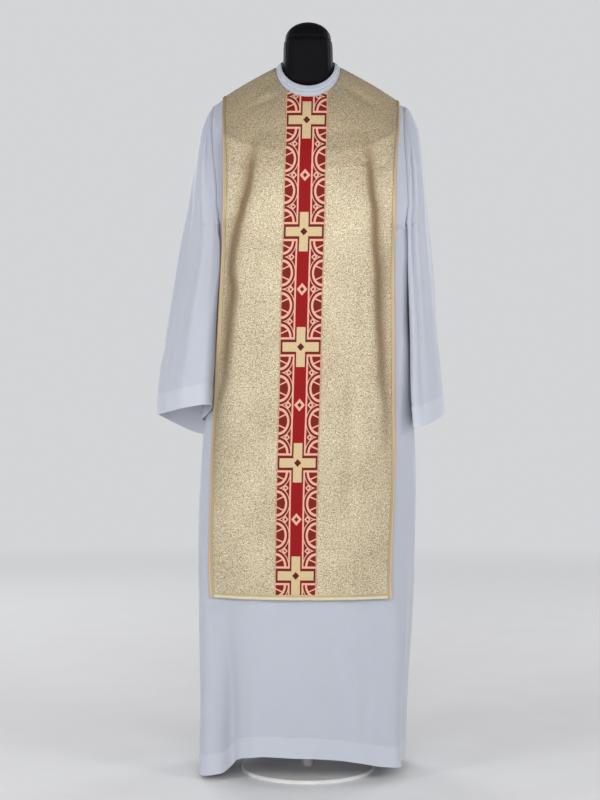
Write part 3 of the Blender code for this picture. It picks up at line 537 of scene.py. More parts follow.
sleeves = {
    "columns": 96,
    "step": 0.0048,
    "cuffHem": 0.046,
    "turnLength": 1.4,
    "creaseGain": 2.0,
    "waves": [(0.0005, 0.13, 0.52, 1.0), (0.0004, -0.08, 0.31, 2.9)],
    "sideFade": 0.018, "topFade": 0.05, "topStart": 0.01, "pitFade": 0.05, "seamFade": 3,
    # by height, how far the left sleeve's inner front fold is drawn back and to the side, and its turns
    "tuck": {760: 23, 850: 23, 950: 21, 1000: 18, 1050: 14, 1100: 10, 1150: 5, 1240: 0},
    "lean": {790: 0, 850: 3, 900: 1.8, 950: 1, 1050: 1.8, 1120: 0.4, 1180: 0},
    "tuckTurns": (60, 114, 136, 172), "leanTurns": (96, 120), "tuckLean": 0.05,
    # the ridges and valleys that hang from the shoulder, outside at 0, front fold at 90, inside at 180
    "left": [
        (-0.6, (62, 1440, 0, 7), (60, 1360, 3.2, 8), (58, 1200, 3.6, 9), (55, 1020, 3.4, 10),
         (52, 840, 2.6, 11), (52, 800, 2, 11)),
        (0.5, (98, 1430, 0, 7), (100, 1370, 2.8, 7), (102, 1270, 1.8, 8), (103, 1170, 0, 8)),
        (-0.5, (78, 1390, 0, 6), (79, 1300, -3, 7), (80, 1150, -2.4, 8), (80, 980, 0, 9)),
        (0.5, (20, 1400, 0, 10), (18, 1250, -3.4, 12), (17, 1050, -2.8, 13), (16, 860, -1.2, 14),
         (16, 800, 0, 14)),
        (-0.5, (-22, 1420, 0, 9), (-25, 1250, -3, 11), (-27, 1050, -3.2, 12), (-28, 880, -1.2, 12),
         (-28, 800, 0, 12)),
        (0.6, (-60, 1360, 0, 7), (-63, 1200, -2.6, 9), (-66, 990, -2.4, 10), (-68, 840, 0, 10)),
        (0.5, (35, 1080, 0, 6), (42, 1020, -2, 6), (50, 985, 0, 6)),
        (-0.5, (5, 980, 0, 7), (-4, 930, -2.2, 7), (-14, 900, 0, 7)),
        (0.5, (150, 1150, 0, 8), (148, 1050, -2.6, 9), (147, 920, 0, 9)),
        (0.5, (-140, 1140, 0, 8), (-143, 1020, -2.4, 9), (-145, 900, 0, 9)),
    ],
    "right": [
        (0.6, (70, 1430, 0, 6), (72, 1370, -3.4, 6), (72, 1250, -4.2, 7), (70, 1080, -3.6, 8),
         (68, 920, -2.4, 9), (67, 830, -1, 10), (67, 790, 0, 10)),
        (-0.4, (42, 1400, 0, 8), (42, 1270, 2.6, 10), (40, 1050, 2.8, 11), (38, 860, 1.4, 12),
         (38, 800, 0, 12)),
        (-0.5, (12, 1400, 0, 10), (10, 1220, -3, 12), (9, 1020, -3, 13), (8, 860, -1, 13), (8, 800, 0, 13)),
        (0.5, (-30, 1410, 0, 9), (-32, 1260, -3.2, 11), (-34, 1060, -2.6, 12), (-35, 870, -1, 12),
         (-35, 800, 0, 12)),
        (-0.5, (-64, 1350, 0, 8), (-66, 1190, -2.4, 9), (-68, 1000, -2, 10), (-70, 860, 0, 10)),
        (0.5, (28, 960, 0, 6), (20, 915, -2, 6), (11, 890, 0, 6)),
        (-0.5, (-12, 1130, 0, 7), (-20, 1080, -1.8, 7), (-30, 1055, 0, 7)),
        (0.5, (148, 1140, 0, 8), (146, 1030, -2.4, 9), (145, 910, 0, 9)),
        (0.5, (-146, 1150, 0, 8), (-143, 1030, -2.2, 9), (-142, 900, 0, 9)),
        (0.5, (105, 1050, 0, 8), (107, 940, -2, 9), (108, 840, 0, 9)),
    ],
}


def sleeveGrid(side):
    closedFrom = sleeveForm["closed"]
    fine = np.linspace(closedFrom, len(sleeveForm[side]) - 1, fineSteps)
    length = runLength(sleeveBase(side, fine, 90), 0)
    lower = np.interp(np.linspace(0, length[-1], int(length[-1] / sleeves["step"]) + 2), length, fine)
    loops = np.concatenate([armholeNumbers[:-1] - bodyForm["tip"], lower])
    turns = readTable(sleeveForm["openings"], loops)[:, None] * np.linspace(-1, 1, sleeves["columns"] + 1)
    if side == "left":
        turns = turns[:, ::-1]
    points = sleevePoint(side, loops[:, None], turns)
    across, down, toSide = gridLengths(points, sleeves["columns"] // 2)
    fromCuff = down[-1] - down
    onArmhole = (loops < closedFrom)[:, None]
    past = (down - down[np.abs(loops - closedFrom).argmin()]) / sleeves["pitFade"]
    fade = softStep(toSide / sleeves["sideFade"])  # under the armpit it comes off again
    top = softStep((down + sleeves["topStart"]) / sleeves["topFade"])
    fade = np.where(onArmhole, fade * top, np.maximum(fade, softStep(past)))
    seam = np.where(onArmhole, 1, np.exp(-np.maximum(past, 0) * sleeves["seamFade"]))
    depth = unevenness(sleeves, side, turns, across, points[..., 2]) * fade
    depth += hemStep(fromCuff, sleeves["cuffHem"]) - robe["seamDip"] * seam * bell(toSide, robe["seamWide"])
    points = points + gridWays(points) * depth[..., None]
    if side == "left":
        tuck, lean = (readMillimetres(sleeves[name], points[..., 2]) for name in ("tuck", "lean"))
        first, full, less, last = sleeves["tuckTurns"]
        tuck = tuck * stepBetween(turns, first, full) * stepBetween(turns, last, less)
        points[..., 0] += lean * stepBetween(turns, *sleeves["leanTurns"]) - tuck * sleeves["tuckLean"]
        points[..., 1] += tuck
    closed = loops >= closedFrom - 1e-9  # a tube from the armpit down
    points[closed, 0] = points[closed, -1] = (points[closed, 0] + points[closed, -1]) / 2
    return points, gridWays(points), np.stack([across, fromCuff], -1)


collar = {
    "sideZ": 1.5885, "frontZ": 1.5310, "backZ": 1.6060, "half": 0.0605, "front": 0.0650, "back": 0.0590,
    "columns": 168,
    "rows": 26,
    "stitched": 3,  # its stitches are this many rows from its edges
    "wall": 0.0012,
    "bulge": 0.0030,
    "groove": 0.0015, "grooveAt": 0.52, "grooveWide": 0.07,
    "ripple": 0.0004,
}


def collarGrid():
    turns = np.linspace(0, 360, collar["columns"], endpoint=False)
    heights = np.linspace(1, 0, collar["rows"] + 1)[:, None]
    across, out = roundWays(turns, 1)
    depth, endZ = (np.where(out > 0, collar["front" + end], collar["back" + end]) for end in ("", "Z"))
    z = collar["sideZ"] + (endZ - collar["sideZ"]) * np.abs(out)
    head = np.stack([collar["half"] * across, -depth * out, z], -1)
    foot = bodyPoint(0, turns)
    arch = np.sin(math.pi * heights)
    swell = collar["bulge"] * arch**0.8 + collar["ripple"] * np.sin(np.radians(turns) * 5 + 1) * arch
    swell = swell - collar["groove"] * bell(heights - collar["grooveAt"], collar["grooveWide"])
    points = foot + (head - foot) * heights[..., None] + unitRows(foot * (1, 1, 0)) * swell[..., None]
    across, down, _ = gridLengths(points, 0)
    ways = gridWays(np.concatenate([points[:, -1:], points, points[:, :1]], 1))[:, 1:-1]
    return points, ways, np.stack([across, down[-1] - down], -1)


panels = {
    "wall": 0.0010,
    "lift": 0.0001,
    "raise": {0: 2.2, 4: 2.5, 6: 3.6, 8: 3.4, 11: 3.8, 14: 4.2, 18: 6.2, 22: 9.5},  # over the robe, by ring
    "start": 0.06,  # the ring that they start from at the neck
    "footZ": 0.4060,
    "hemBand": 0.0120,
    "edging": 0.0080,
    "bandHalf": 0.0438,
    "bandCentres": {0: -2.2, 7: -6, 14: -9.5, 16: -14.5, 18: -19, 20: -25, 22: -28.8},
    "levels": 250,
    "hemLevels": 3,
    "columns": {"neck": 26, "side": 22, "edge": 3, "band": 14},
    "turnLength": 1,
    "creaseGain": 1.6,
    "slack": 0.0022,  # how far a crease may sink before it meets the robe
    # the middle stands out from the sides: where it starts on each side, and how far, by height
    "rise": {
        "front": {
            "left": {600: -200, 820: -196, 885: -176.8, 950: -170.3, 1015.5: -163.7, 1080: -156, 1124: -161.5,
                     1168: -157.2, 1211: -148.5, 1255: -137.6, 1287: -128.9, 1320: -122.4, 1400: -112},
            "right": {600: 168, 820: 165, 885: 154, 950: 151.7, 1015.5: 147, 1124: 145.1, 1168: 140,
                      1255: 138.6, 1290: 133, 1400: 125},
            "height": {600: 0, 740: 3, 920: 10, 1080: 14, 1280: 14.5, 1345: 12.5, 1370: 9, 1425: 0},
            "middle": 0.5, "soft": 0.013,
        },
        "back": {
            "left": {600: -185, 900: -176, 1100: -166, 1250: -150, 1400: -136},
            "right": {600: 168, 900: 164, 1100: 158, 1250: 150, 1400: 140},
            "height": {620: 0, 800: 3, 1000: 6, 1240: 8, 1360: 5, 1450: 0},
            "middle": 0.7, "soft": 0.017,
        },
    },
    # between these heights the cloth's columns are eased, this many times over
    "easeLow": 1.165, "easeHigh": 1.275, "easeSoft": 0.03, "easeShare": 0.6, "easeRounds": 60,
    "shadeOut": 0.006, "shadeLeft": 0.014, "shadeRight": 0.012,
    "neckFade": 0.02, "edgeFade": 0.02, "edgeDepth": 0.35,
    "seamFrom": 0.07, "seamDip": 0.0006, "seamWide": 0.0035,  # the shoulder seam, from this far out
    "curl": 0.0035, "curlX": (0.150, 0.185), "curlZ": (0.445, 0.405),  # the right foot corner
    "patternZ": 1.15,  # the brocade's lengths are counted from this height
    "crowd": (1.2, 0.4),  # how the rows crowd to the neck in the middle, and how much more at the sides
    "ringSpan": 0.15, "turnSpan": 2,  # the slope of the robe is taken over these
    "waves": [(0.0004, 0.17, 0.61, 0.9), (0.00035, -0.09, 0.33, 3.1), (0.0002, 0.05, 0.21, 5.0)],
    "front": [
        (0.5, (-58, 1510, 0, 8), (-85, 1502, -1.8, 9), (-115, 1490, -2.2, 9), (-142, 1474, 0, 9)),
        (-0.5, (-72, 1552, 0, 7), (-100, 1526, -1.4, 8), (-125, 1503, -1.4, 8), (-145, 1486, 0, 8)),
        (-0.5, (68, 1540, 0, 8), (100, 1518, -2, 9), (135, 1496, -1.8, 9), (168, 1478, 0, 9)),
        (0.5, (110, 1528, 0, 6), (130, 1500, -1.2, 7), (146, 1474, 0, 7)),
        (-0.4, (-146, 1350, 0, 9), (-160, 1260, -1.4, 10), (-174, 1170, -1.6, 10), (-186, 1020, -1.2, 10),
         (-194, 900, 0, 10)),
        (0.4, (154, 1340, 0, 9), (162, 1240, -1.4, 10), (174, 1120, -1.4, 10), (172, 980, -1.2, 10),
         (176, 860, 0, 10)),
        (0.5, (-186, 1103, 0, 4), (-170, 1101, -1.6, 4), (-152, 1097, -2.2, 5), (-141, 1091, 0, 4)),
        (-0.4, (-171, 991, 0, 3), (-160, 989, -1.2, 4), (-148, 991, 0, 3)),
        (0.4, (-192, 898, 0, 3), (-184, 893, -1.2, 4), (-175, 888, 0, 3)),
        (-0.5, (-166, 1290, 0, 5), (-152, 1276, -1.6, 6), (-138, 1252, -1.2, 6), (-130, 1235, 0, 5)),
        (0.5, (176, 1372, 0, 5), (160, 1352, -1.5, 6), (146, 1338, 0, 5)),
        (0, (98, 950, 0, 14), (95.1, 860, -2.2, 15), (95.1, 760, -2.8, 16), (90.7, 630, -3, 16),
         (88, 540, 0, 15)),
        (0, (-108, 950, 0, 12), (-110, 820, -1.8, 14), (-108, 680, -2, 14), (-106, 550, -1.2, 14),
         (-106, 480, 0, 14)),
        (0.4, (178, 1470, 0, 7), (179, 1420, 1.8, 7), (180, 1330, 1.6, 7), (180, 1260, 0, 7)),
        (-0.4, (-172, 1460, 0, 7), (-171, 1400, 1.6, 8), (-170, 1300, 1.2, 8), (-170, 1220, 0, 8)),
        (0.5, (104, 1368, 0, 5), (115, 1357, -0.6, 5), (128, 1355, -0.7, 5), (141, 1366, 0, 5)),
        (0.5, (72, 688, 0, 7), (85, 665, -1.4, 8), (100, 635, -1.2, 8), (112, 612, 0, 8)),
        (-0.5, (78, 600, 0, 6), (95, 584, -1.4, 7), (112, 575, 0, 7)),
        (0.5, (-205, 545, 0, 6), (-185, 528, -1.6, 7), (-160, 512, 0, 7)),
        (-0.5, (-100, 1210, 0, 7), (-112, 1150, -1.4, 8), (-118, 1080, 0, 8)),
        (0.5, (-82, 900, 0, 7), (-90, 830, -1.3, 8), (-94, 760, 0, 8)),
        (0.5, (108, 1120, 0, 7), (116, 1050, -1.4, 8), (120, 970, 0, 8)),
        (-0.5, (-120, 560, 0, 10), (-118, 500, -1.6, 11), (-116, 420, -2, 12), (-116, 390, -2, 12)),
        (0.5, (92, 520, 0, 9), (94, 470, 1.2, 10), (95, 390, 1.8, 11)),
    ],
    "back": [
        (0.5, (-60, 1545, 0, 8), (-92, 1520, -1.8, 9), (-128, 1492, -1.8, 9), (-150, 1468, 0, 9)),
        (-0.5, (72, 1548, 0, 8), (104, 1522, -2, 9), (140, 1490, -1.6, 9), (168, 1466, 0, 9)),
        (0.5, (20, 1560, 0, 10), (28, 1480, -1.4, 12), (30, 1360, -1.2, 13), (28, 1220, 0, 13)),
        (-0.6, (-140, 1380, 0, 12), (-152, 1200, -1.8, 13), (-164, 980, -2, 14), (-172, 760, 0, 14)),
        (0.6, (148, 1400, 0, 12), (154, 1220, -2, 12), (156, 1000, -1.8, 13), (152, 780, 0, 13)),
        (-0.5, (-62, 1300, 0, 10), (-66, 1160, -1.6, 12), (-72, 980, 0, 12)),
        (0.5, (66, 1120, 0, 10), (72, 980, -1.6, 12), (74, 820, 0, 12)),
        (0.5, (-116, 720, 0, 9), (-100, 680, -1.4, 9), (-78, 655, 0, 9)),
        (-0.5, (60, 600, 0, 8), (88, 575, -1.4, 8), (116, 560, 0, 8)),
        (-0.5, (-30, 620, 0, 11), (-34, 520, -1.4, 12), (-36, 390, -1.8, 13)),
        (0.5, (125, 560, 0, 10), (122, 480, -1.4, 11), (120, 390, -2, 12)),
    ],
}


halvings = 44  # ends far finer than any length here


def ringWhere(test, first, last, shape=()):  # the last number at which a test is true, by halving
    first, last = np.full(shape, float(first)), np.full(shape, float(last))
    for _ in range(halvings):
        middle = (first + last) / 2
        true = test(middle)
        first, last = np.where(true, middle, first), np.where(true, last, middle)
    return last


# The x of one of the panel's threads on a ring: 0 on the band's centre line, 1 at the band's edge,
# 2 at the side edging's inner edge and 3 at the panel's own edge.
def panelLine(number, share):
    number, share = together(number, share)
    ring, side, size = bodyRing(number), np.sign(share), np.abs(share)
    centre = readTable(panels["bandCentres"], number) / 1000
    edge = np.where(side > 0, ring["panelRight"], -ring["panelLeft"])
    band, inner = centre + side * panels["bandHalf"], edge - side * panels["edging"]
    x = np.where(size <= 1, centre + (band - centre) * size, band + (inner - band) * (size - 1))
    return np.where(size > 2, inner + (edge - inner) * (size - 2), x)


def neckShare(side):  # the thread that starts where neck and shoulder meet
    start = panels["start"]
    reach = bodyRing(np.array(start))["right" if side > 0 else "left"]
    return side * float(ringWhere(lambda share: np.abs(panelLine(start, side * share)) < reach, 0, 2))


def panelShares():
    count, halves = panels["columns"], {}
    for side in (1, -1):
        ends = (("edge", side * 3, side * 2), ("side", side * 2, neckShare(side)),
                ("neck", neckShare(side), side), ("band", side, 0))
        halves[side] = np.concatenate([np.linspace(first, last, count[name] + 1)[:-1]
                                       for name, first, last in ends])
    return np.concatenate([halves[1], [0], halves[-1][::-1]])


shares = panelShares()
middleThread = len(shares) // 2


def panelPlaces():  # ring numbers and turns: a row for each level
    side, begin, levels = np.where(shares >= 0, 1, -1), panels["start"], panels["hemLevels"]

    def inside(number):
        ring = bodyRing(number)
        return np.where(side > 0, ring["right"], ring["left"]) <= np.abs(panelLine(number, shares))

    def ringAbove(height):
        return float(ringWhere(lambda n: bodyRing(n)["frontZ"] > height, bodyForm["pit"], bodyForm["hem"]))

    onShoulder = inside(np.full(shares.shape, begin))
    start = np.where(onShoulder, ringWhere(inside, begin, bodyForm["tip"], shares.shape), begin)
    foot, bandTop = ringAbove(panels["footZ"]), ringAbove(panels["footZ"] + panels["hemBand"])
    neck = np.array([abs(neckShare(way)) for way in side])
    least, more = panels["crowd"]
    crowd = least + more * np.clip(np.abs(shares) / neck, 0, 1)**3
    numbers = start + (bandTop - start) * np.linspace(0, 1, panels["levels"] + 1)[:, None]**crowd
    lastOnes = bandTop + (foot - bandTop) * np.linspace(0, 1, levels + 1)[1:, None] * np.ones(shares.shape)
    numbers = np.concatenate([numbers, lastOnes])
    turns = turnAtX(numbers, panelLine(numbers, shares))
    turns[0] = np.where(onShoulder, np.where(side > 0, 0, 180), turns[0])
    return numbers, turns


def panelGround(face, numbers, turns):  # the panel as it would lie on a robe without creases
    least, most = (0, 180) if face == "front" else (180, 360)
    turns = turns if face == "front" else 360 - turns
    ringSpan, turnSpan = panels["ringSpan"], panels["turnSpan"]
    high, low = np.maximum(numbers - ringSpan, 0), np.minimum(numbers + ringSpan, bodyForm["hem"])
    right, left = np.maximum(turns - turnSpan, least), np.minimum(turns + turnSpan, most)
    down = bodyPoint(low, turns, True) - bodyPoint(high, turns, True)
    along = bodyPoint(numbers, left, True) - bodyPoint(numbers, right, True)
    ways = unitRows(np.cross(along, down))
    lift = readTable(panels["raise"], numbers)[..., None] / 1000
    return bodyPoint(numbers, turns, True) + ways * lift, ways


def readRise(face, up):
    return (readMillimetres(panels["rise"][face][name], up) for name in ("left", "right", "height"))


def panelRise(face, across, up):
    left, right, height = readRise(face, up)
    soft, middle = (panels["rise"][face][name] for name in ("soft", "middle"))
    inside = stepBetween(across, left - soft, left + soft) * stepBetween(across, right + soft, right - soft)
    sideways = np.clip((2 * across - left - right) / (right - left), -1, 1)
    return height * inside * (middle + (1 - middle) * sideways**2)


def panelPaintedShade(face, across, up):  # painted shade in the troughs beside the raised middle, where the cloth turns away from the light
    left, right, height = readRise(face, up)
    banks = bell(across - left + panels["shadeOut"], panels["shadeLeft"])
    banks += bell(across - right - panels["shadeOut"], panels["shadeRight"])
    return banks * height * 1000 / max(panels["rise"][face]["height"].values())


def easeColumns(points):  # takes the sharp step under the arm out of the edges
    low, high, soft, z = panels["easeLow"], panels["easeHigh"], panels["easeSoft"], points[..., 2]
    weight = stepBetween(z, low, low + soft) * stepBetween(z, high, high - soft) * panels["easeShare"]
    for _ in range(panels["easeRounds"]):
        middle = (points[:-2] + points[2:]) / 2
        points[1:-1] += (middle - points[1:-1]) * weight[1:-1, :, None]
    return points


def panelGrid(face):
    points, ways = panelGround(face, *panelPlaces())
    _, down, toEdge = gridLengths(points, middleThread)
    across = gridLengths(points * (1, 1, 0), middleThread)[0]
    x, z = points[..., 0], points[..., 2]
    level = [np.interp(-panels["patternZ"], -z[:, i], down[:, i]) for i in range(len(shares))]
    up = np.array(level) - down
    depth = unevenness(panels, face, x * 1000, x, z) + panelRise(face, x, z)
    depth *= softStep(down / panels["neckFade"])
    depth *= panels["edgeDepth"] + (1 - panels["edgeDepth"]) * softStep(toEdge / panels["edgeFade"])
    depth -= panels["seamDip"] * (np.abs(x[0]) > panels["seamFrom"]) * bell(down, panels["seamWide"])
    if face == "front":
        depth += panels["curl"] * stepBetween(x, *panels["curlX"]) * stepBetween(z, *panels["curlZ"])
    points = easeColumns(points + ways * depth[..., None])
    if face == "back":
        points, up, across = points[:, ::-1], up[:, ::-1], across[:, ::-1]
    return points, gridWays(points), np.stack([across, up], -1)


bandPattern = {
    "crosses": [0.4598, 0.7055, 0.9571, 1.2061, 1.4497],  # heights of the crosses' middles
    "pitch": 0.2426,
    "half": 0.044,
    "lay": 0.0004,
    "wall": 0.0008,
    "cord": 0.00048,  # from the band's foot to the middle of the cord along its edge
}
bandFoot = panels["wall"] + bandPattern["lay"]  # how far the bands lie over the panel's own grid


def makeBand(material):
    points, ways, _ = grids["panelFrontCloth"]
    half, heights = panels["columns"]["band"], bandPattern["crosses"]
    rows, columns = slice(-panels["hemLevels"]), slice(middleThread - half, middleThread + half + 1)
    points, ways = points[rows, columns], ways[rows, columns]
    across, z = np.broadcast_to(shares[columns] * bandPattern["half"], points.shape[:2]), points[..., 2]
    up = np.interp(z, heights, np.arange(len(heights)) * bandPattern["pitch"])
    up = up + np.minimum(z - heights[0], 0) + np.maximum(z - heights[-1], 0)
    grid = (points, ways, np.stack([across, up], -1))
    makeShell("orphreyFront", grid, bandFoot, bandFoot + bandPattern["wall"], material)


ribbon = {"crown": 0.0005, "wall": 0.0007, "finer": 3}


# A narrow ribbon whose two long edges are rounded down, cut from some columns and rows of a panel's grid.
def makeRibbon(name, grid, rows, columns, material):
    parts = [part[rows, columns] for part in grid]
    axis = int(np.argmin(parts[0].shape[:2]))  # the way across the ribbon
    least, crown = parts[0].shape[axis] - 1, ribbon["crown"]
    fine = np.linspace(0, least, least * ribbon["finer"] + 1)
    low = np.clip(np.floor(fine).astype(int), 0, least - 1)
    share = (fine - low).reshape(-1, 1, 1)
    parts = [np.moveaxis(part, axis, 0) for part in parts]
    points, ways, uv = (part[low] * (1 - share) + part[low + 1] * share for part in parts)
    ways, across = unitRows(ways), np.broadcast_to((fine / least)[:, None], uv.shape[:2])
    along = uv[..., 1] if axis == 1 else across  # a hem band's pattern changes only across it
    shape = np.sqrt(np.clip(1 - (fine / least * 2 - 1)**2, 0, 1)) * crown - crown
    parts = (points + ways * shape[:, None, None], ways, np.stack([across, along], -1))
    foot = bandFoot + crown
    makeShell(name, [np.moveaxis(part, 0, axis) for part in parts], foot, foot + ribbon["wall"], material)


def linear(red, green, blue):  # a screen colour, 0 to 255, as the shader wants it
    return tuple(c / 255 / 12.92 if c <= 10 else ((c / 255 + 0.055) / 1.055)**2.4 for c in (red, green, blue))


def setInput(tree, socket, source):  # to a value, or to what another socket gives
    source = getattr(source, "socket", source)
    if isinstance(source, bpy.types.NodeSocket):
        tree.links.new(source, socket)
    elif isinstance(source, tuple) and len(source) < len(socket.default_value):
        socket.default_value = (*source, 1)
    else:
        socket.default_value = source


def addNode(tree, kind, inputs, **settings):
    node = tree.nodes.new(kind)
    for name, value in settings.items():
        setattr(node, name, value)
    for key, source in inputs.items():
        setInput(tree, node.inputs[key], source)
    return node


def setStops(node, stops):
    elements = node.color_ramp.elements
    while len(elements) < len(stops):
        elements.new(0.5)
    for element, (place, colour) in zip(elements, stops):
        element.position, element.color = place, (*colour, 1)
    return node.outputs[0]


def calc(operation, *values, clamp=False):
    tree = next(value.socket.id_data for value in values if isinstance(value, Value))
    inputs = dict(enumerate(values))
    return Value(addNode(tree, "ShaderNodeMath", inputs, operation=operation, use_clamp=clamp))


class Value:  # a number that a material's nodes work out
    def __init__(self, node, output=0):
        self.socket = node.outputs[output]

    def __add__(self, other):
        return calc("ADD", self, other)

    def __sub__(self, other):
        return calc("SUBTRACT", self, other)

    def __rsub__(self, other):
        return calc("SUBTRACT", other, self)

    def __mul__(self, other):
        return calc("MULTIPLY", self, other)

    def __truediv__(self, other):
        return calc("DIVIDE", self, other)

    def __abs__(self):
        return calc("ABSOLUTE", self)

    def below(self, edge, soft=0.5):  # 1 where it is under an edge, 0 over it
        return calc("MULTIPLY_ADD", self, -1 / soft, edge / soft + 0.5, clamp=True)

    def above(self, edge, soft=0.5):
        return calc("MULTIPLY_ADD", self, 1 / soft, 0.5 - edge / soft, clamp=True)

    def within(self, low, high, soft=0.5):
        return self.above(low, soft) * self.below(high, soft)


class Finish:  # a material, its nodes joined by short calls
    def __init__(self, name):
        self.material = bpy.data.materials.new(name)
        self.material.use_nodes = True
        self.tree = self.material.node_tree
        self.places = self.add("TexCoord").outputs  # "UV" or "Object"

    def add(self, kind, inputs={}, **settings):
        return addNode(self.tree, "ShaderNode" + kind, inputs, **settings)

    def parts(self, kind):
        node = self.add("SeparateXYZ", {0: self.places[kind]})
        return [Value(node, i) for i in range(3)]

    def noise(self, kind, scale, detail=2.0, rough=0.5, warp=0.0):  # the scale may differ for each axis
        vector = self.places[kind]
        if isinstance(scale, tuple):
            vector, scale = self.add("Mapping", {"Vector": vector, "Scale": scale}).outputs[0], 1
        inputs = {"Vector": vector, "Scale": scale, "Detail": detail, "Roughness": rough, "Distortion": warp}
        return Value(self.add("TexNoise", inputs), "Fac")

    def wave(self, kind, scale, axis):
        inputs = {"Vector": self.places[kind], "Scale": scale}
        return Value(self.add("TexWave", inputs, bands_direction=axis), "Fac")

    def ramp(self, value, *stops):
        return setStops(self.add("ValToRGB", {0: value}), stops)

    def paint(self, colour, *layers):  # each layer is a colour and the share of it
        for over, mask in layers:
            colour = self.add("Mix", {0: mask, 6: colour, 7: over}, data_type="RGBA").outputs[2]
        return colour

    def bump(self, height, strength, distance, under=None):
        inputs = {"Strength": strength, "Distance": distance, "Height": height}
        return self.add("Bump", inputs | ({"Normal": under} if under else {})).outputs[0]

    def finish(self, colour, rough, normal, more={}):
        inputs = {"Base Color": colour, "Roughness": rough, "Normal": normal} | more
        for name, source in inputs.items():
            if source is not None:
                setInput(self.tree, self.tree.nodes["Principled BSDF"].inputs[name], source)
        return self.material


robeFinish = {
    "cloth": linear(190, 194, 204),
    "hem": linear(198, 202, 211),
    "slub": linear(174, 180, 193),
    "dull": linear(146, 151, 163),
    "panelFoot": -0.247, "panelSlope": 0.05, "panelTop": 1.22,  # the x of the panel's left edge, by height
    # a painted shadow beside the panel's left edge, on the robe and the left sleeve: each edge of it and how
    # soft it is
    "stripX": (-0.017, 0.016), "stripEnd": (0, 0.1), "stripY": (-0.045, 0.03), "stripZ": (0.81, 1.42, 0.05),
    "threads": 1250,  # threads in a metre, and the scale of a wave of one metre
    "waveScale": 20,
}


def makeRobeCloth():
    look, cloth = robeFinish, Finish("robeCloth")
    _, v, _ = cloth.parts("UV")
    x, y, z = cloth.parts("Object")
    slubs, ends = cloth.noise("UV", (90, 900, 1), 3), cloth.noise("UV", (900, 70, 1), 3)
    # painted shadow along the panel's left edge, where it would fall on the robe
    edge = calc("MINIMUM", z, look["panelTop"]) * look["panelSlope"] + look["panelFoot"]
    shadowStrip = (x - edge).above(*look["stripX"]) * x.below(*look["stripEnd"]) * y.below(*look["stripY"])
    shadowStrip = shadowStrip * z.within(*look["stripZ"])
    colour = cloth.paint(
        look["cloth"], (look["slub"], slubs * 0.35), (look["hem"], v.below(robe["hem"], 0.002) * 0.75),
        (look["slub"], cloth.noise("UV", 9, 3) * 0.22), (look["dull"], shadowStrip * 0.62))
    warp, weft = (cloth.wave("UV", look["threads"] / look["waveScale"], axis) for axis in "XY")
    normal = cloth.bump(warp * ends + weft * slubs, 0.35, 0.0003)
    normal = cloth.bump(cloth.noise("UV", (30, 14, 1), 4), 0.35, 0.0018, normal)
    return cloth.finish(colour, slubs * 0.15 + 0.52, normal, {
        "Specular IOR Level": 0.3, "Sheen Weight": 0.2, "Sheen Roughness": 0.4, "Subsurface Weight": 0.5,
        "Subsurface Scale": 0.004, "Subsurface Radius": (1.0, 0.96, 0.92)})


brocadeFinish = {
    "light": linear(240, 232, 206),
    "middle": linear(184, 168, 128),
    "dark": linear(138, 117, 76),
    "deep": linear(86, 66, 36),
    # painted shade over the top of the panel
    "paintedTopShade": linear(184, 146, 88),
    "blush": linear(204, 172, 146),
    "sage": linear(160, 158, 128),
    # a painted shade colour, for the troughs and the upper chest
    "turned": linear(122, 87, 30),
    "figure": 215,  # winding lines in a metre
    "grain": 350,
    "metal": 0.35,
}


def makeBrocade():
    look, cloth = brocadeFinish, Finish("goldBrocade")
    _, _, height = cloth.parts("Object")
    winding = cloth.noise("UV", look["figure"], 1.0, 0.4, 0.6)
    line, second = abs(winding - 0.5).below(0.035, 0.03), abs(winding - 0.62).below(0.026, 0.03)
    figure = calc("MAXIMUM", line, second * 0.8)
    grain, patch = cloth.noise("UV", look["grain"], 2, 0.65), cloth.noise("UV", 120)
    drift, speck = cloth.noise("UV", 9, 3), cloth.noise("UV", 260, 1)
    # painted shade: the troughs' darkness, carried by the shade attribute
    shade = Value(cloth.add("Attribute", attribute_name="shade"), "Fac")
    ground = cloth.ramp(grain * 0.86 + patch * 0.14 + (drift - 0.5) * 0.16, (0.34, look["deep"]),
                        (0.44, look["dark"]), (0.53, look["middle"]), (0.68, look["light"]))
    # painted shade: darker gold over the upper chest, which faces up and away from the light, and in patches
    # over the top
    colour = cloth.paint(
        ground, (look["turned"], height.within(1.33, 1.46, 0.07) * 0.20),
        (look["blush"], speck.above(0.56, 0.10) * 0.45), (look["sage"], speck.below(0.44, 0.10) * 0.45),
        (look["paintedTopShade"], height.above(1.40, 0.16) * drift.above(0.5, 0.25) * 0.30),
        (look["light"], figure * 0.42), (look["turned"], shade * 0.78))
    relief = figure * 0.8 + grain * 0.6 + cloth.wave("UV", 70, "Y") * 0.12
    normal = cloth.bump(patch, 0.12, 0.0007, cloth.bump(relief, 0.5, 0.0004))
    return cloth.finish(colour, grain * 0.26 + 0.36, normal, {
        "Metallic": look["metal"], "Specular IOR Level": 0.95, "Coat Weight": 0.30, "Coat Roughness": 0.40})


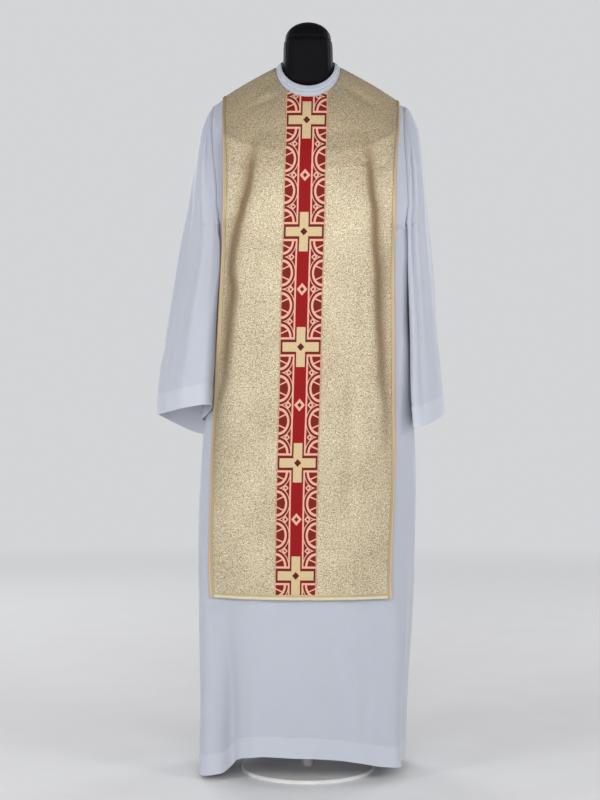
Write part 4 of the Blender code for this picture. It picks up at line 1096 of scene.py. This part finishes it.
bandFinish = {
    "ground": linear(116, 32, 22),
    "bar": linear(148, 16, 20),
    "outline": linear(112, 34, 28),
    "arc": linear(106, 34, 28),
    "sector": linear(122, 32, 24),
    "pink": linear(234, 176, 154),
    "fill": linear(222, 202, 160), "fillDark": linear(196, 166, 112), "fillLight": linear(240, 226, 200),
    "dark": linear(96, 34, 30),
    # a darker tone in random patches over the whole band
    "worn": (0.02, 0.008, 0.008),
    # millimetres from the band's middle line and from a cross's middle
    "barHalf": 12.9, "frame": (12.9, 16.4), "frameTop": (15.6, 20.2), "wheels": (20.5, 87.0), "edge": 43.8,
    "border": 42.9, "radius": 33.4, "bulge": 27.6, "line": 2.2, "arcWide": 5.0, "ringWide": 5.6, "spoke": 1.5,
    # half the width and half the height of the cross's two bars and of the diamonds, and where these stand
    "arm": (38.8, 9.9), "post": (9.4, 41.8), "armOutline": 43.0, "heart": (7.85, 8.5), "boss": (11.5, 13.3),
    "smallDiamond": (6.4, 7.0), "smallAt": (24.2, 53.6), "largeDiamond": (6.8, 8.5), "largeAt": 24.0,
    "bend": (0.46, 7.5),  # a spoke's slope, and where it leaves the band's edge
}


def makeRedBand():  # crosses on a bar between panels of scalloped wheels
    look, band = bandFinish, Finish("redBand")
    u, v, _ = band.parts("UV")
    pitch, pink, dark = bandPattern["pitch"], look["pink"], look["dark"]
    x, out = abs(u) * 1000, look["edge"] - abs(u) * 1000
    y = abs(calc("FRACT", v / pitch + 20.5) - 0.5) * (pitch * 1000)  # 20 crosses more keep it above 0
    fromMiddle = pitch * 500 - y
    wide = out * (look["radius"] / look["bulge"])
    local = calc("MINIMUM", *(abs(y - middle) for middle in look["wheels"]))
    radius = calc("SQRT", wide * wide + local * local)
    beside = x.above(look["frame"][1] - 0.3) * y.above(look["frameTop"][1] - 0.3)

    def ring(outer, width):
        return beside * radius.within(outer - width, outer)

    def diamond(middleX, fromY, size):
        return abs(x - middleX) / size[0] + fromY / size[1]

    def framed(shape, soft):  # a pink shape with a dark middle
        return (pink, shape.below(1.0, soft)), (dark, shape.below(0.42, soft))

    (smallX, smallY), rim, hub = look["smallAt"], look["radius"], look["radius"] - look["arcWide"]
    slope, start = look["bend"]
    spoke = beside * abs(local - (out * slope + start)).below(look["spoke"]) * radius.below(hub - 1)
    bar, (armLong, armWide), (postWide, postLong) = x.below(look["barHalf"]), look["arm"], look["post"]
    outline = calc("MAXIMUM", y.below(look["frameTop"][0]) * x.below(look["armOutline"]),
                   bar * y.below(postLong))
    cross = calc("MAXIMUM", y.below(armWide) * x.below(armLong), x.below(postWide) * y.below(postLong))
    grain = band.noise("UV", 640, 2, 0.6)
    fill = band.ramp(grain, (0.36, look["fillDark"]), (0.56, look["fill"]), (0.75, look["fillLight"]))
    colour = band.paint(
        look["ground"], (look["sector"], beside), (pink, ring(rim + look["line"], look["line"])),
        (look["arc"], ring(rim, look["arcWide"])), (pink, ring(hub, look["ringWide"])), (pink, spoke),
        *framed(diamond(smallX, abs(y - smallY), look["smallDiamond"]), 0.1),
        *framed(diamond(look["largeAt"], fromMiddle, look["largeDiamond"]), 0.1),
        (look["bar"], bar), (pink, x.within(*look["frame"]) * y.above(look["frameTop"][0])),
        (pink, x.above(look["frame"][0]) * y.within(*look["frameTop"])),
        *framed(diamond(0, fromMiddle, look["boss"]), 0.06), (look["outline"], outline), (fill, cross),
        (dark, diamond(0, y, look["heart"]).below(1.0, 0.08)), (pink, x.above(look["border"])),
        (look["worn"], (grain * 0.5 + 0.1) * 0.25))
    relief = cross * 1.2 + (band.noise("UV", (500, 1400, 1)) + band.wave("UV", 55, "Y") * 0.4)
    return band.finish(colour, grain * 0.25 + 0.55, band.bump(relief, 0.5, 0.0005),
                       {"Metallic": cross * 0.25, "Specular IOR Level": 0.14})


def makeBraid(name, ground, line, stripe, metal=0.45):  # a flat ribbon with a paler cord in it
    braid = Finish(name)
    across, along, _ = braid.parts("UV")
    grain, cord = braid.noise("Object", 620, 2, 0.6), across.within(*stripe, 0.12)
    twist = calc("SINE", along * 3300 + across * 5.0)
    colour = braid.paint(ground, (line, cord), (tuple(c * 0.45 for c in ground), grain * 0.42))
    normal = braid.bump(cord * twist * 0.5 + grain + cord, 0.5, 0.0004)
    return braid.finish(colour, grain * 0.25 + 0.32, normal, {"Metallic": metal})


def makeBlackForm():
    form = Finish("blackForm")
    cloud = form.noise("Object", 14, 3)
    colour = form.ramp(cloud, (0.3, (0.0026, 0.0024, 0.0034)), (0.7, (0.0046, 0.0043, 0.0058)))
    knit = form.bump(form.wave("Object", 110, "Z") + form.noise("Object", 900), 0.18, 0.0003)
    normal = form.bump(form.noise("Object", 40, 3), 0.25, 0.0012, knit)
    return form.finish(colour, cloud * 0.2 + 0.42, normal,
                       {"Specular IOR Level": 0.06, "Sheen Weight": 0.004, "Sheen Roughness": 0.4})


def makeWhitePaint():
    paint = Finish("whitePaint")
    wear = paint.noise("Object", 22, 4, 0.65)
    colour = paint.ramp(wear, (0.35, (0.70, 0.70, 0.68)), (0.7, (0.80, 0.80, 0.785)))
    normal = paint.bump(paint.noise("Object", 320), 0.12, 0.0004)
    return paint.finish(colour, wear * 0.25 + 0.25, normal, {"Coat Weight": 0.2, "Coat Roughness": 0.2})


def makeThread(name, light, dark, metal=0.0):
    thread = Finish(name)
    grain = thread.noise("Object", 1500)
    colour = thread.paint(dark, (light, grain))
    return thread.finish(colour, 0.5, thread.bump(grain, 0.4, 0.0002), {"Metallic": metal})


def makeFloorFinish():  # fades away far from the object
    floor = Finish("paleFloor")
    grain = floor.noise("Object", 6, 4)
    x, y, _ = floor.parts("Object")
    colour = floor.ramp(grain, (0.3, (0.84, 0.84, 0.84)), (0.7, (0.87, 0.87, 0.87)))
    solid = calc("SQRT", x * x + y * y).below(2.6, 3.6)
    return floor.finish(colour, grain * 0.1 + 0.6, None, {"Specular IOR Level": 0.2, "Alpha": solid})


# metres, and how far a strand leans out of its row, in radians
stitch = {"Spacing": 0.0042, "Length": 0.0030, "Width": 0.00055, "Lean": 0.0}
cordTwist = {"Spacing": 0.0019, "Length": 0.0034, "Width": 0.0019, "Lean": 0.6}
stitchLift = 0.0001


# Short rods along a path, in a row: stitches, or the strands of a twisted cord when they lean.
def rowTree():
    tree = bpy.data.node_groups.new("rowAlongPath", "GeometryNodeTree")
    kinds = {"Path": "Geometry"} | dict.fromkeys(stitch, "Float") | {"Finish": "Material"}
    for name, kind in kinds.items():
        tree.interface.new_socket(name, in_out="INPUT", socket_type="NodeSocket" + kind)
    tree.interface.new_socket("Row", in_out="OUTPUT", socket_type="NodeSocketGeometry")

    def add(kind, inputs={}, output=0, **settings):
        return addNode(tree, kind, inputs, **settings).outputs[output]

    start = tree.nodes.new("NodeGroupInput").outputs
    curve = add("GeometryNodeMeshToCurve", {"Mesh": start["Path"]})
    spaced = add("GeometryNodeResampleCurve", {"Curve": curve, "Length": start["Spacing"]}, mode="LENGTH")
    rod = add("GeometryNodeMeshUVSphere", {"Segments": 6, "Rings": 5, "Radius": 0.5}, "Mesh")
    outward = add("GeometryNodeInputNamedAttribute", {"Name": "outward"}, "Attribute",
                  data_type="FLOAT_VECTOR")
    along = {"Primary Axis": outward, "Secondary Axis": add("GeometryNodeInputTangent")}
    turned = add("FunctionNodeAxesToRotation", along, primary_axis="Z", secondary_axis="X")
    size = add("ShaderNodeCombineXYZ", {"X": start["Length"], "Y": start["Width"], "Z": start["Width"]})
    placing = {"Points": spaced, "Instance": rod, "Rotation": turned, "Scale": size}
    placed = add("GeometryNodeInstanceOnPoints", placing)
    lean = add("ShaderNodeCombineXYZ", {"Z": start["Lean"]})
    leaned = add("GeometryNodeRotateInstances", {"Instances": placed, "Rotation": lean})
    smooth = add("GeometryNodeSetShadeSmooth", {"Geometry": add("GeometryNodeRealizeInstances", {0: leaned})})
    row = add("GeometryNodeSetMaterial", {"Geometry": smooth, "Material": start["Finish"]})
    addNode(tree, "NodeGroupOutput", {"Row": row})
    return tree


def makeRow(name, tree, paths, sizes, finish):
    points, outs = (np.concatenate([path[i] for path in paths]) for i in (0, 1))
    edges, first = [], 0
    for places, _, closed in paths:
        numbers = list(range(first, first + len(places)))
        edges += zip(numbers, numbers[1:] + numbers[:closed])
        first += len(places)
    mesh = bpy.data.meshes.new(name + "Path")
    mesh.from_pydata(points, edges, [])
    outward = mesh.attributes.new("outward", "FLOAT_VECTOR", "POINT")
    outward.data.foreach_set("vector", outs.astype(np.float32).ravel())
    holder = linkMesh(name + "Path", mesh)
    modifier = holder.modifiers.new("row", "NODES")
    modifier.node_group = tree
    values = sizes | {"Finish": finish}
    for item in tree.interface.items_tree:
        if item.name in values:
            modifier[item.identifier] = values[item.name]
    graph = bpy.context.evaluated_depsgraph_get()
    made = bpy.data.meshes.new_from_object(holder.evaluated_get(graph), depsgraph=graph)
    made.name = name
    bpy.data.objects.remove(holder, do_unlink=True)
    pieces[name] = linkMesh(name, made)
    print(f"  {name}: {len(made.polygons)} faces")


def lineAt(name, height, closed=False):  # a path across a piece's grid at a distance from its hem
    points, ways, uv = grids[name]

    def take(part):
        return np.array([[np.interp(height, uv[::-1, column, 1], part[::-1, column, i]) for i in range(3)]
                         for column in range(points.shape[1] - closed)])

    outs = unitRows(take(ways))
    return take(points) + outs * stitchLift, outs, closed


robeCloth, brocade, redBand = makeRobeCloth(), makeBrocade(), makeRedBand()
gold, rose = brocadeFinish["middle"], linear(224, 188, 160)
sideBraids = (makeBraid("sideBraidRight", gold, rose, (0.02, 0.42)),
              makeBraid("sideBraidLeft", gold, rose, (0.58, 0.98)))
hemBraid = makeBraid("hemBraid", gold, linear(232, 222, 192), (0.45, 0.95))
robeThread = makeThread("robeThread", linear(222, 226, 232), linear(190, 196, 206))
goldThread = makeThread("goldThread", linear(232, 196, 156), linear(170, 116, 84), 0.3)
print("stage 2: finishes made")

for face in faces:
    makeShell(f"robe{face.title()}Cloth", bodyGrid(face), -robe["wall"], 0, robeCloth)
for side in sides:
    makeShell(f"robeSleeve{side.title()}Cloth", sleeveGrid(side), -robe["wall"], 0, robeCloth)
makeShell("robeCollarCloth", collarGrid(), -collar["wall"], 0, robeCloth, ring=True)
print("stage 3: robe made")

low, high, edge = panels["lift"], panels["lift"] + panels["wall"], panels["columns"]["edge"]
for face in faces:
    grid, levels = panelGrid(face), panels["levels"]
    x, _, z = np.moveaxis(grid[0], -1, 0)
    makeShell(f"panel{face.title()}Cloth", grid, low, high, brocade, shade=panelPaintedShade(face, x, z))
    first, last = (side.title() for side in (sides if face == "front" else sides[::-1]))
    makeRibbon(f"edging{face.title()}{first}", grid, slice(None), slice(edge + 1), sideBraids[0])
    makeRibbon(f"edging{face.title()}{last}", grid, slice(None), slice(-edge - 1, None), sideBraids[1])
    makeRibbon(f"hemBand{face.title()}", grid, slice(levels, None), slice(edge, -edge), hemBraid)
makeBand(redBand)
print("stage 4: panels and bands made")

tree = rowTree()
stitched = [lineAt(f"robe{face.title()}Cloth", robe["hem"]) for face in faces]
stitched += [lineAt(f"robeSleeve{side.title()}Cloth", sleeves["cuffHem"], True) for side in sides]
points, ways, _ = grids["robeCollarCloth"]
stitched += [(points[row] + ways[row] * stitchLift, ways[row], True)
             for row in (collar["stitched"], collar["rows"] - collar["stitched"])]
makeRow("robeStitches", tree, stitched, stitch, robeThread)
points, ways, _ = (part[1:levels] for part in grids["panelFrontCloth"])
lift, cords = bandFoot + bandPattern["cord"], []
for way in (-1, 1):  # one along each edge of the band
    column = middleThread + way * panels["columns"]["band"]
    cords.append((points[:, column] + ways[:, column] * lift, ways[:, column], False))
makeRow("bandCord", tree, cords, cordTwist, goldThread)
print("stage 5: stitches and cords made")

formBlack, standWhite = makeBlackForm(), makeWhitePaint()
for node, finish in (("form_torso", formBlack), ("form_cap", formBlack), ("stand_pole", standWhite),
                     ("stand_base", standWhite)):
    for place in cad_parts[node].material_slots:
        place.material = finish

trims = ["orphreyFront", "edgingFrontLeft", "edgingFrontRight", "edgingBackLeft", "edgingBackRight",
         "hemBandFront", "hemBandBack"]
rows = ["robeStitches", "bandCord"]
# a cloth's cut width and length, the share of that used, what it rests on and what is sewn to it
cuts = {
    "robeFrontCloth": ((0.72, 1.56), 0.84, "form_torso", ["robeStitches"]),
    "robeBackCloth": ((0.77, 1.56), 0.80, "form_torso", []),
    "robeSleeveRightCloth": ((0.55, 0.80), 0.60, "robeFrontCloth", []),
    "robeSleeveLeftCloth": ((0.62, 0.82), 0.56, "robeFrontCloth", []),
    "robeCollarCloth": ((0.50, 0.025), 0.85, "form_torso", []),
    "panelFrontCloth": ((0.43, 1.22), 0.95, "robeFrontCloth",
                        [name for name in trims if "Front" in name] + ["bandCord"]),
    "panelBackCloth": ((0.43, 1.25), 0.95, "robeBackCloth", [name for name in trims if "Back" in name]),
}

for name in trims + rows + list(cuts):
    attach(pieces[name], "root")
    if name not in rows:  # panelFrontCloth stands for panel_front
        node = "".join("_" + letter.lower() if letter.isupper() else letter
                       for letter in name.removesuffix("Cloth"))
        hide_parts(node)
for name, (flat, share, under, sewn) in cuts.items():
    share * flat[0] * flat[1]

studio = {
    "camera": ((-0.018, -4.2, 1.0), (-0.018, 0, 0.836), 84.07),
    "sky": ((0.22, (0.86, 0.87, 0.89)), (0.50, (0.27, 0.27, 0.29))),  # its colours, by height
    "skyStrength": 0.76,
    # place, aim, width, height, power
    "lights": {
        "key": ((0.08, -3.2, 1.55), (0, 0, 1.25), 2.0, 1.3, 37),
        "low": ((-1.0, -1.5, 0.15), (-0.32, 0, 0.86), 0.4, 0.3, 2),
        "fill": ((-2.6, -2.2, 1.9), (0, 0, 1.3), 1.0, 1.4, 30),
        "fillRight": ((2.6, -2.0, 1.8), (0, 0, 1.25), 1.0, 1.2, 27),
        "backLeft": ((-1.6, 3.2, 2.0), (0, 0, 1.0), 1.8, 1.8, 40),
        "backRight": ((2.2, 2.6, 2.0), (0, 0, 1.0), 1.4, 1.8, 26),
    },
    "floorRadius": 14, "floorDrop": 0.0005,
}


def aimed(name, kind, place, target):
    thing = bpy.data.objects.new(name, kind)
    thing.location = place
    thing.rotation_euler = (Vector(target) - Vector(place)).to_track_quat("-Z", "Y").to_euler()
    bpy.context.scene.collection.objects.link(thing)
    return thing


place, target, lens = studio["camera"]
view = bpy.data.cameras.new("camera")
view.lens, view.sensor_width = lens, 36
bpy.context.scene.camera = aimed("camera", view, place, target)
for name, (place, target, wide, tall, power) in studio["lights"].items():
    lamp = bpy.data.lights.new(name, "AREA")
    lamp.shape, lamp.size, lamp.size_y, lamp.energy = "RECTANGLE", wide, tall, power
    aimed(name, lamp, place, target)

world = bpy.data.worlds.new("studio")
world.use_nodes = True
around = addNode(world.node_tree, "ShaderNodeTexCoord", {}).outputs["Generated"]
height = addNode(world.node_tree, "ShaderNodeSeparateXYZ", {0: around}).outputs["Z"]
sky = setStops(addNode(world.node_tree, "ShaderNodeValToRGB", {0: height}), studio["sky"])
for i, source in enumerate((sky, studio["skyStrength"])):
    setInput(world.node_tree, world.node_tree.nodes["Background"].inputs[i], source)
bpy.context.scene.world = world
bpy.context.scene.view_settings.view_transform = "Standard"

disc = bmesh.new()
bmesh.ops.create_circle(disc, cap_ends=True, radius=studio["floorRadius"], segments=96)
bmesh.ops.translate(disc, vec=(0, 0, -studio["floorDrop"]), verts=disc.verts)
floorMesh = bpy.data.meshes.new("floor")
disc.to_mesh(floorMesh)
disc.free()
linkMesh("floor", floorMesh, makeFloorFinish())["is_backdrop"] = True

low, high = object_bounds()
print("stage 7: studio ready")
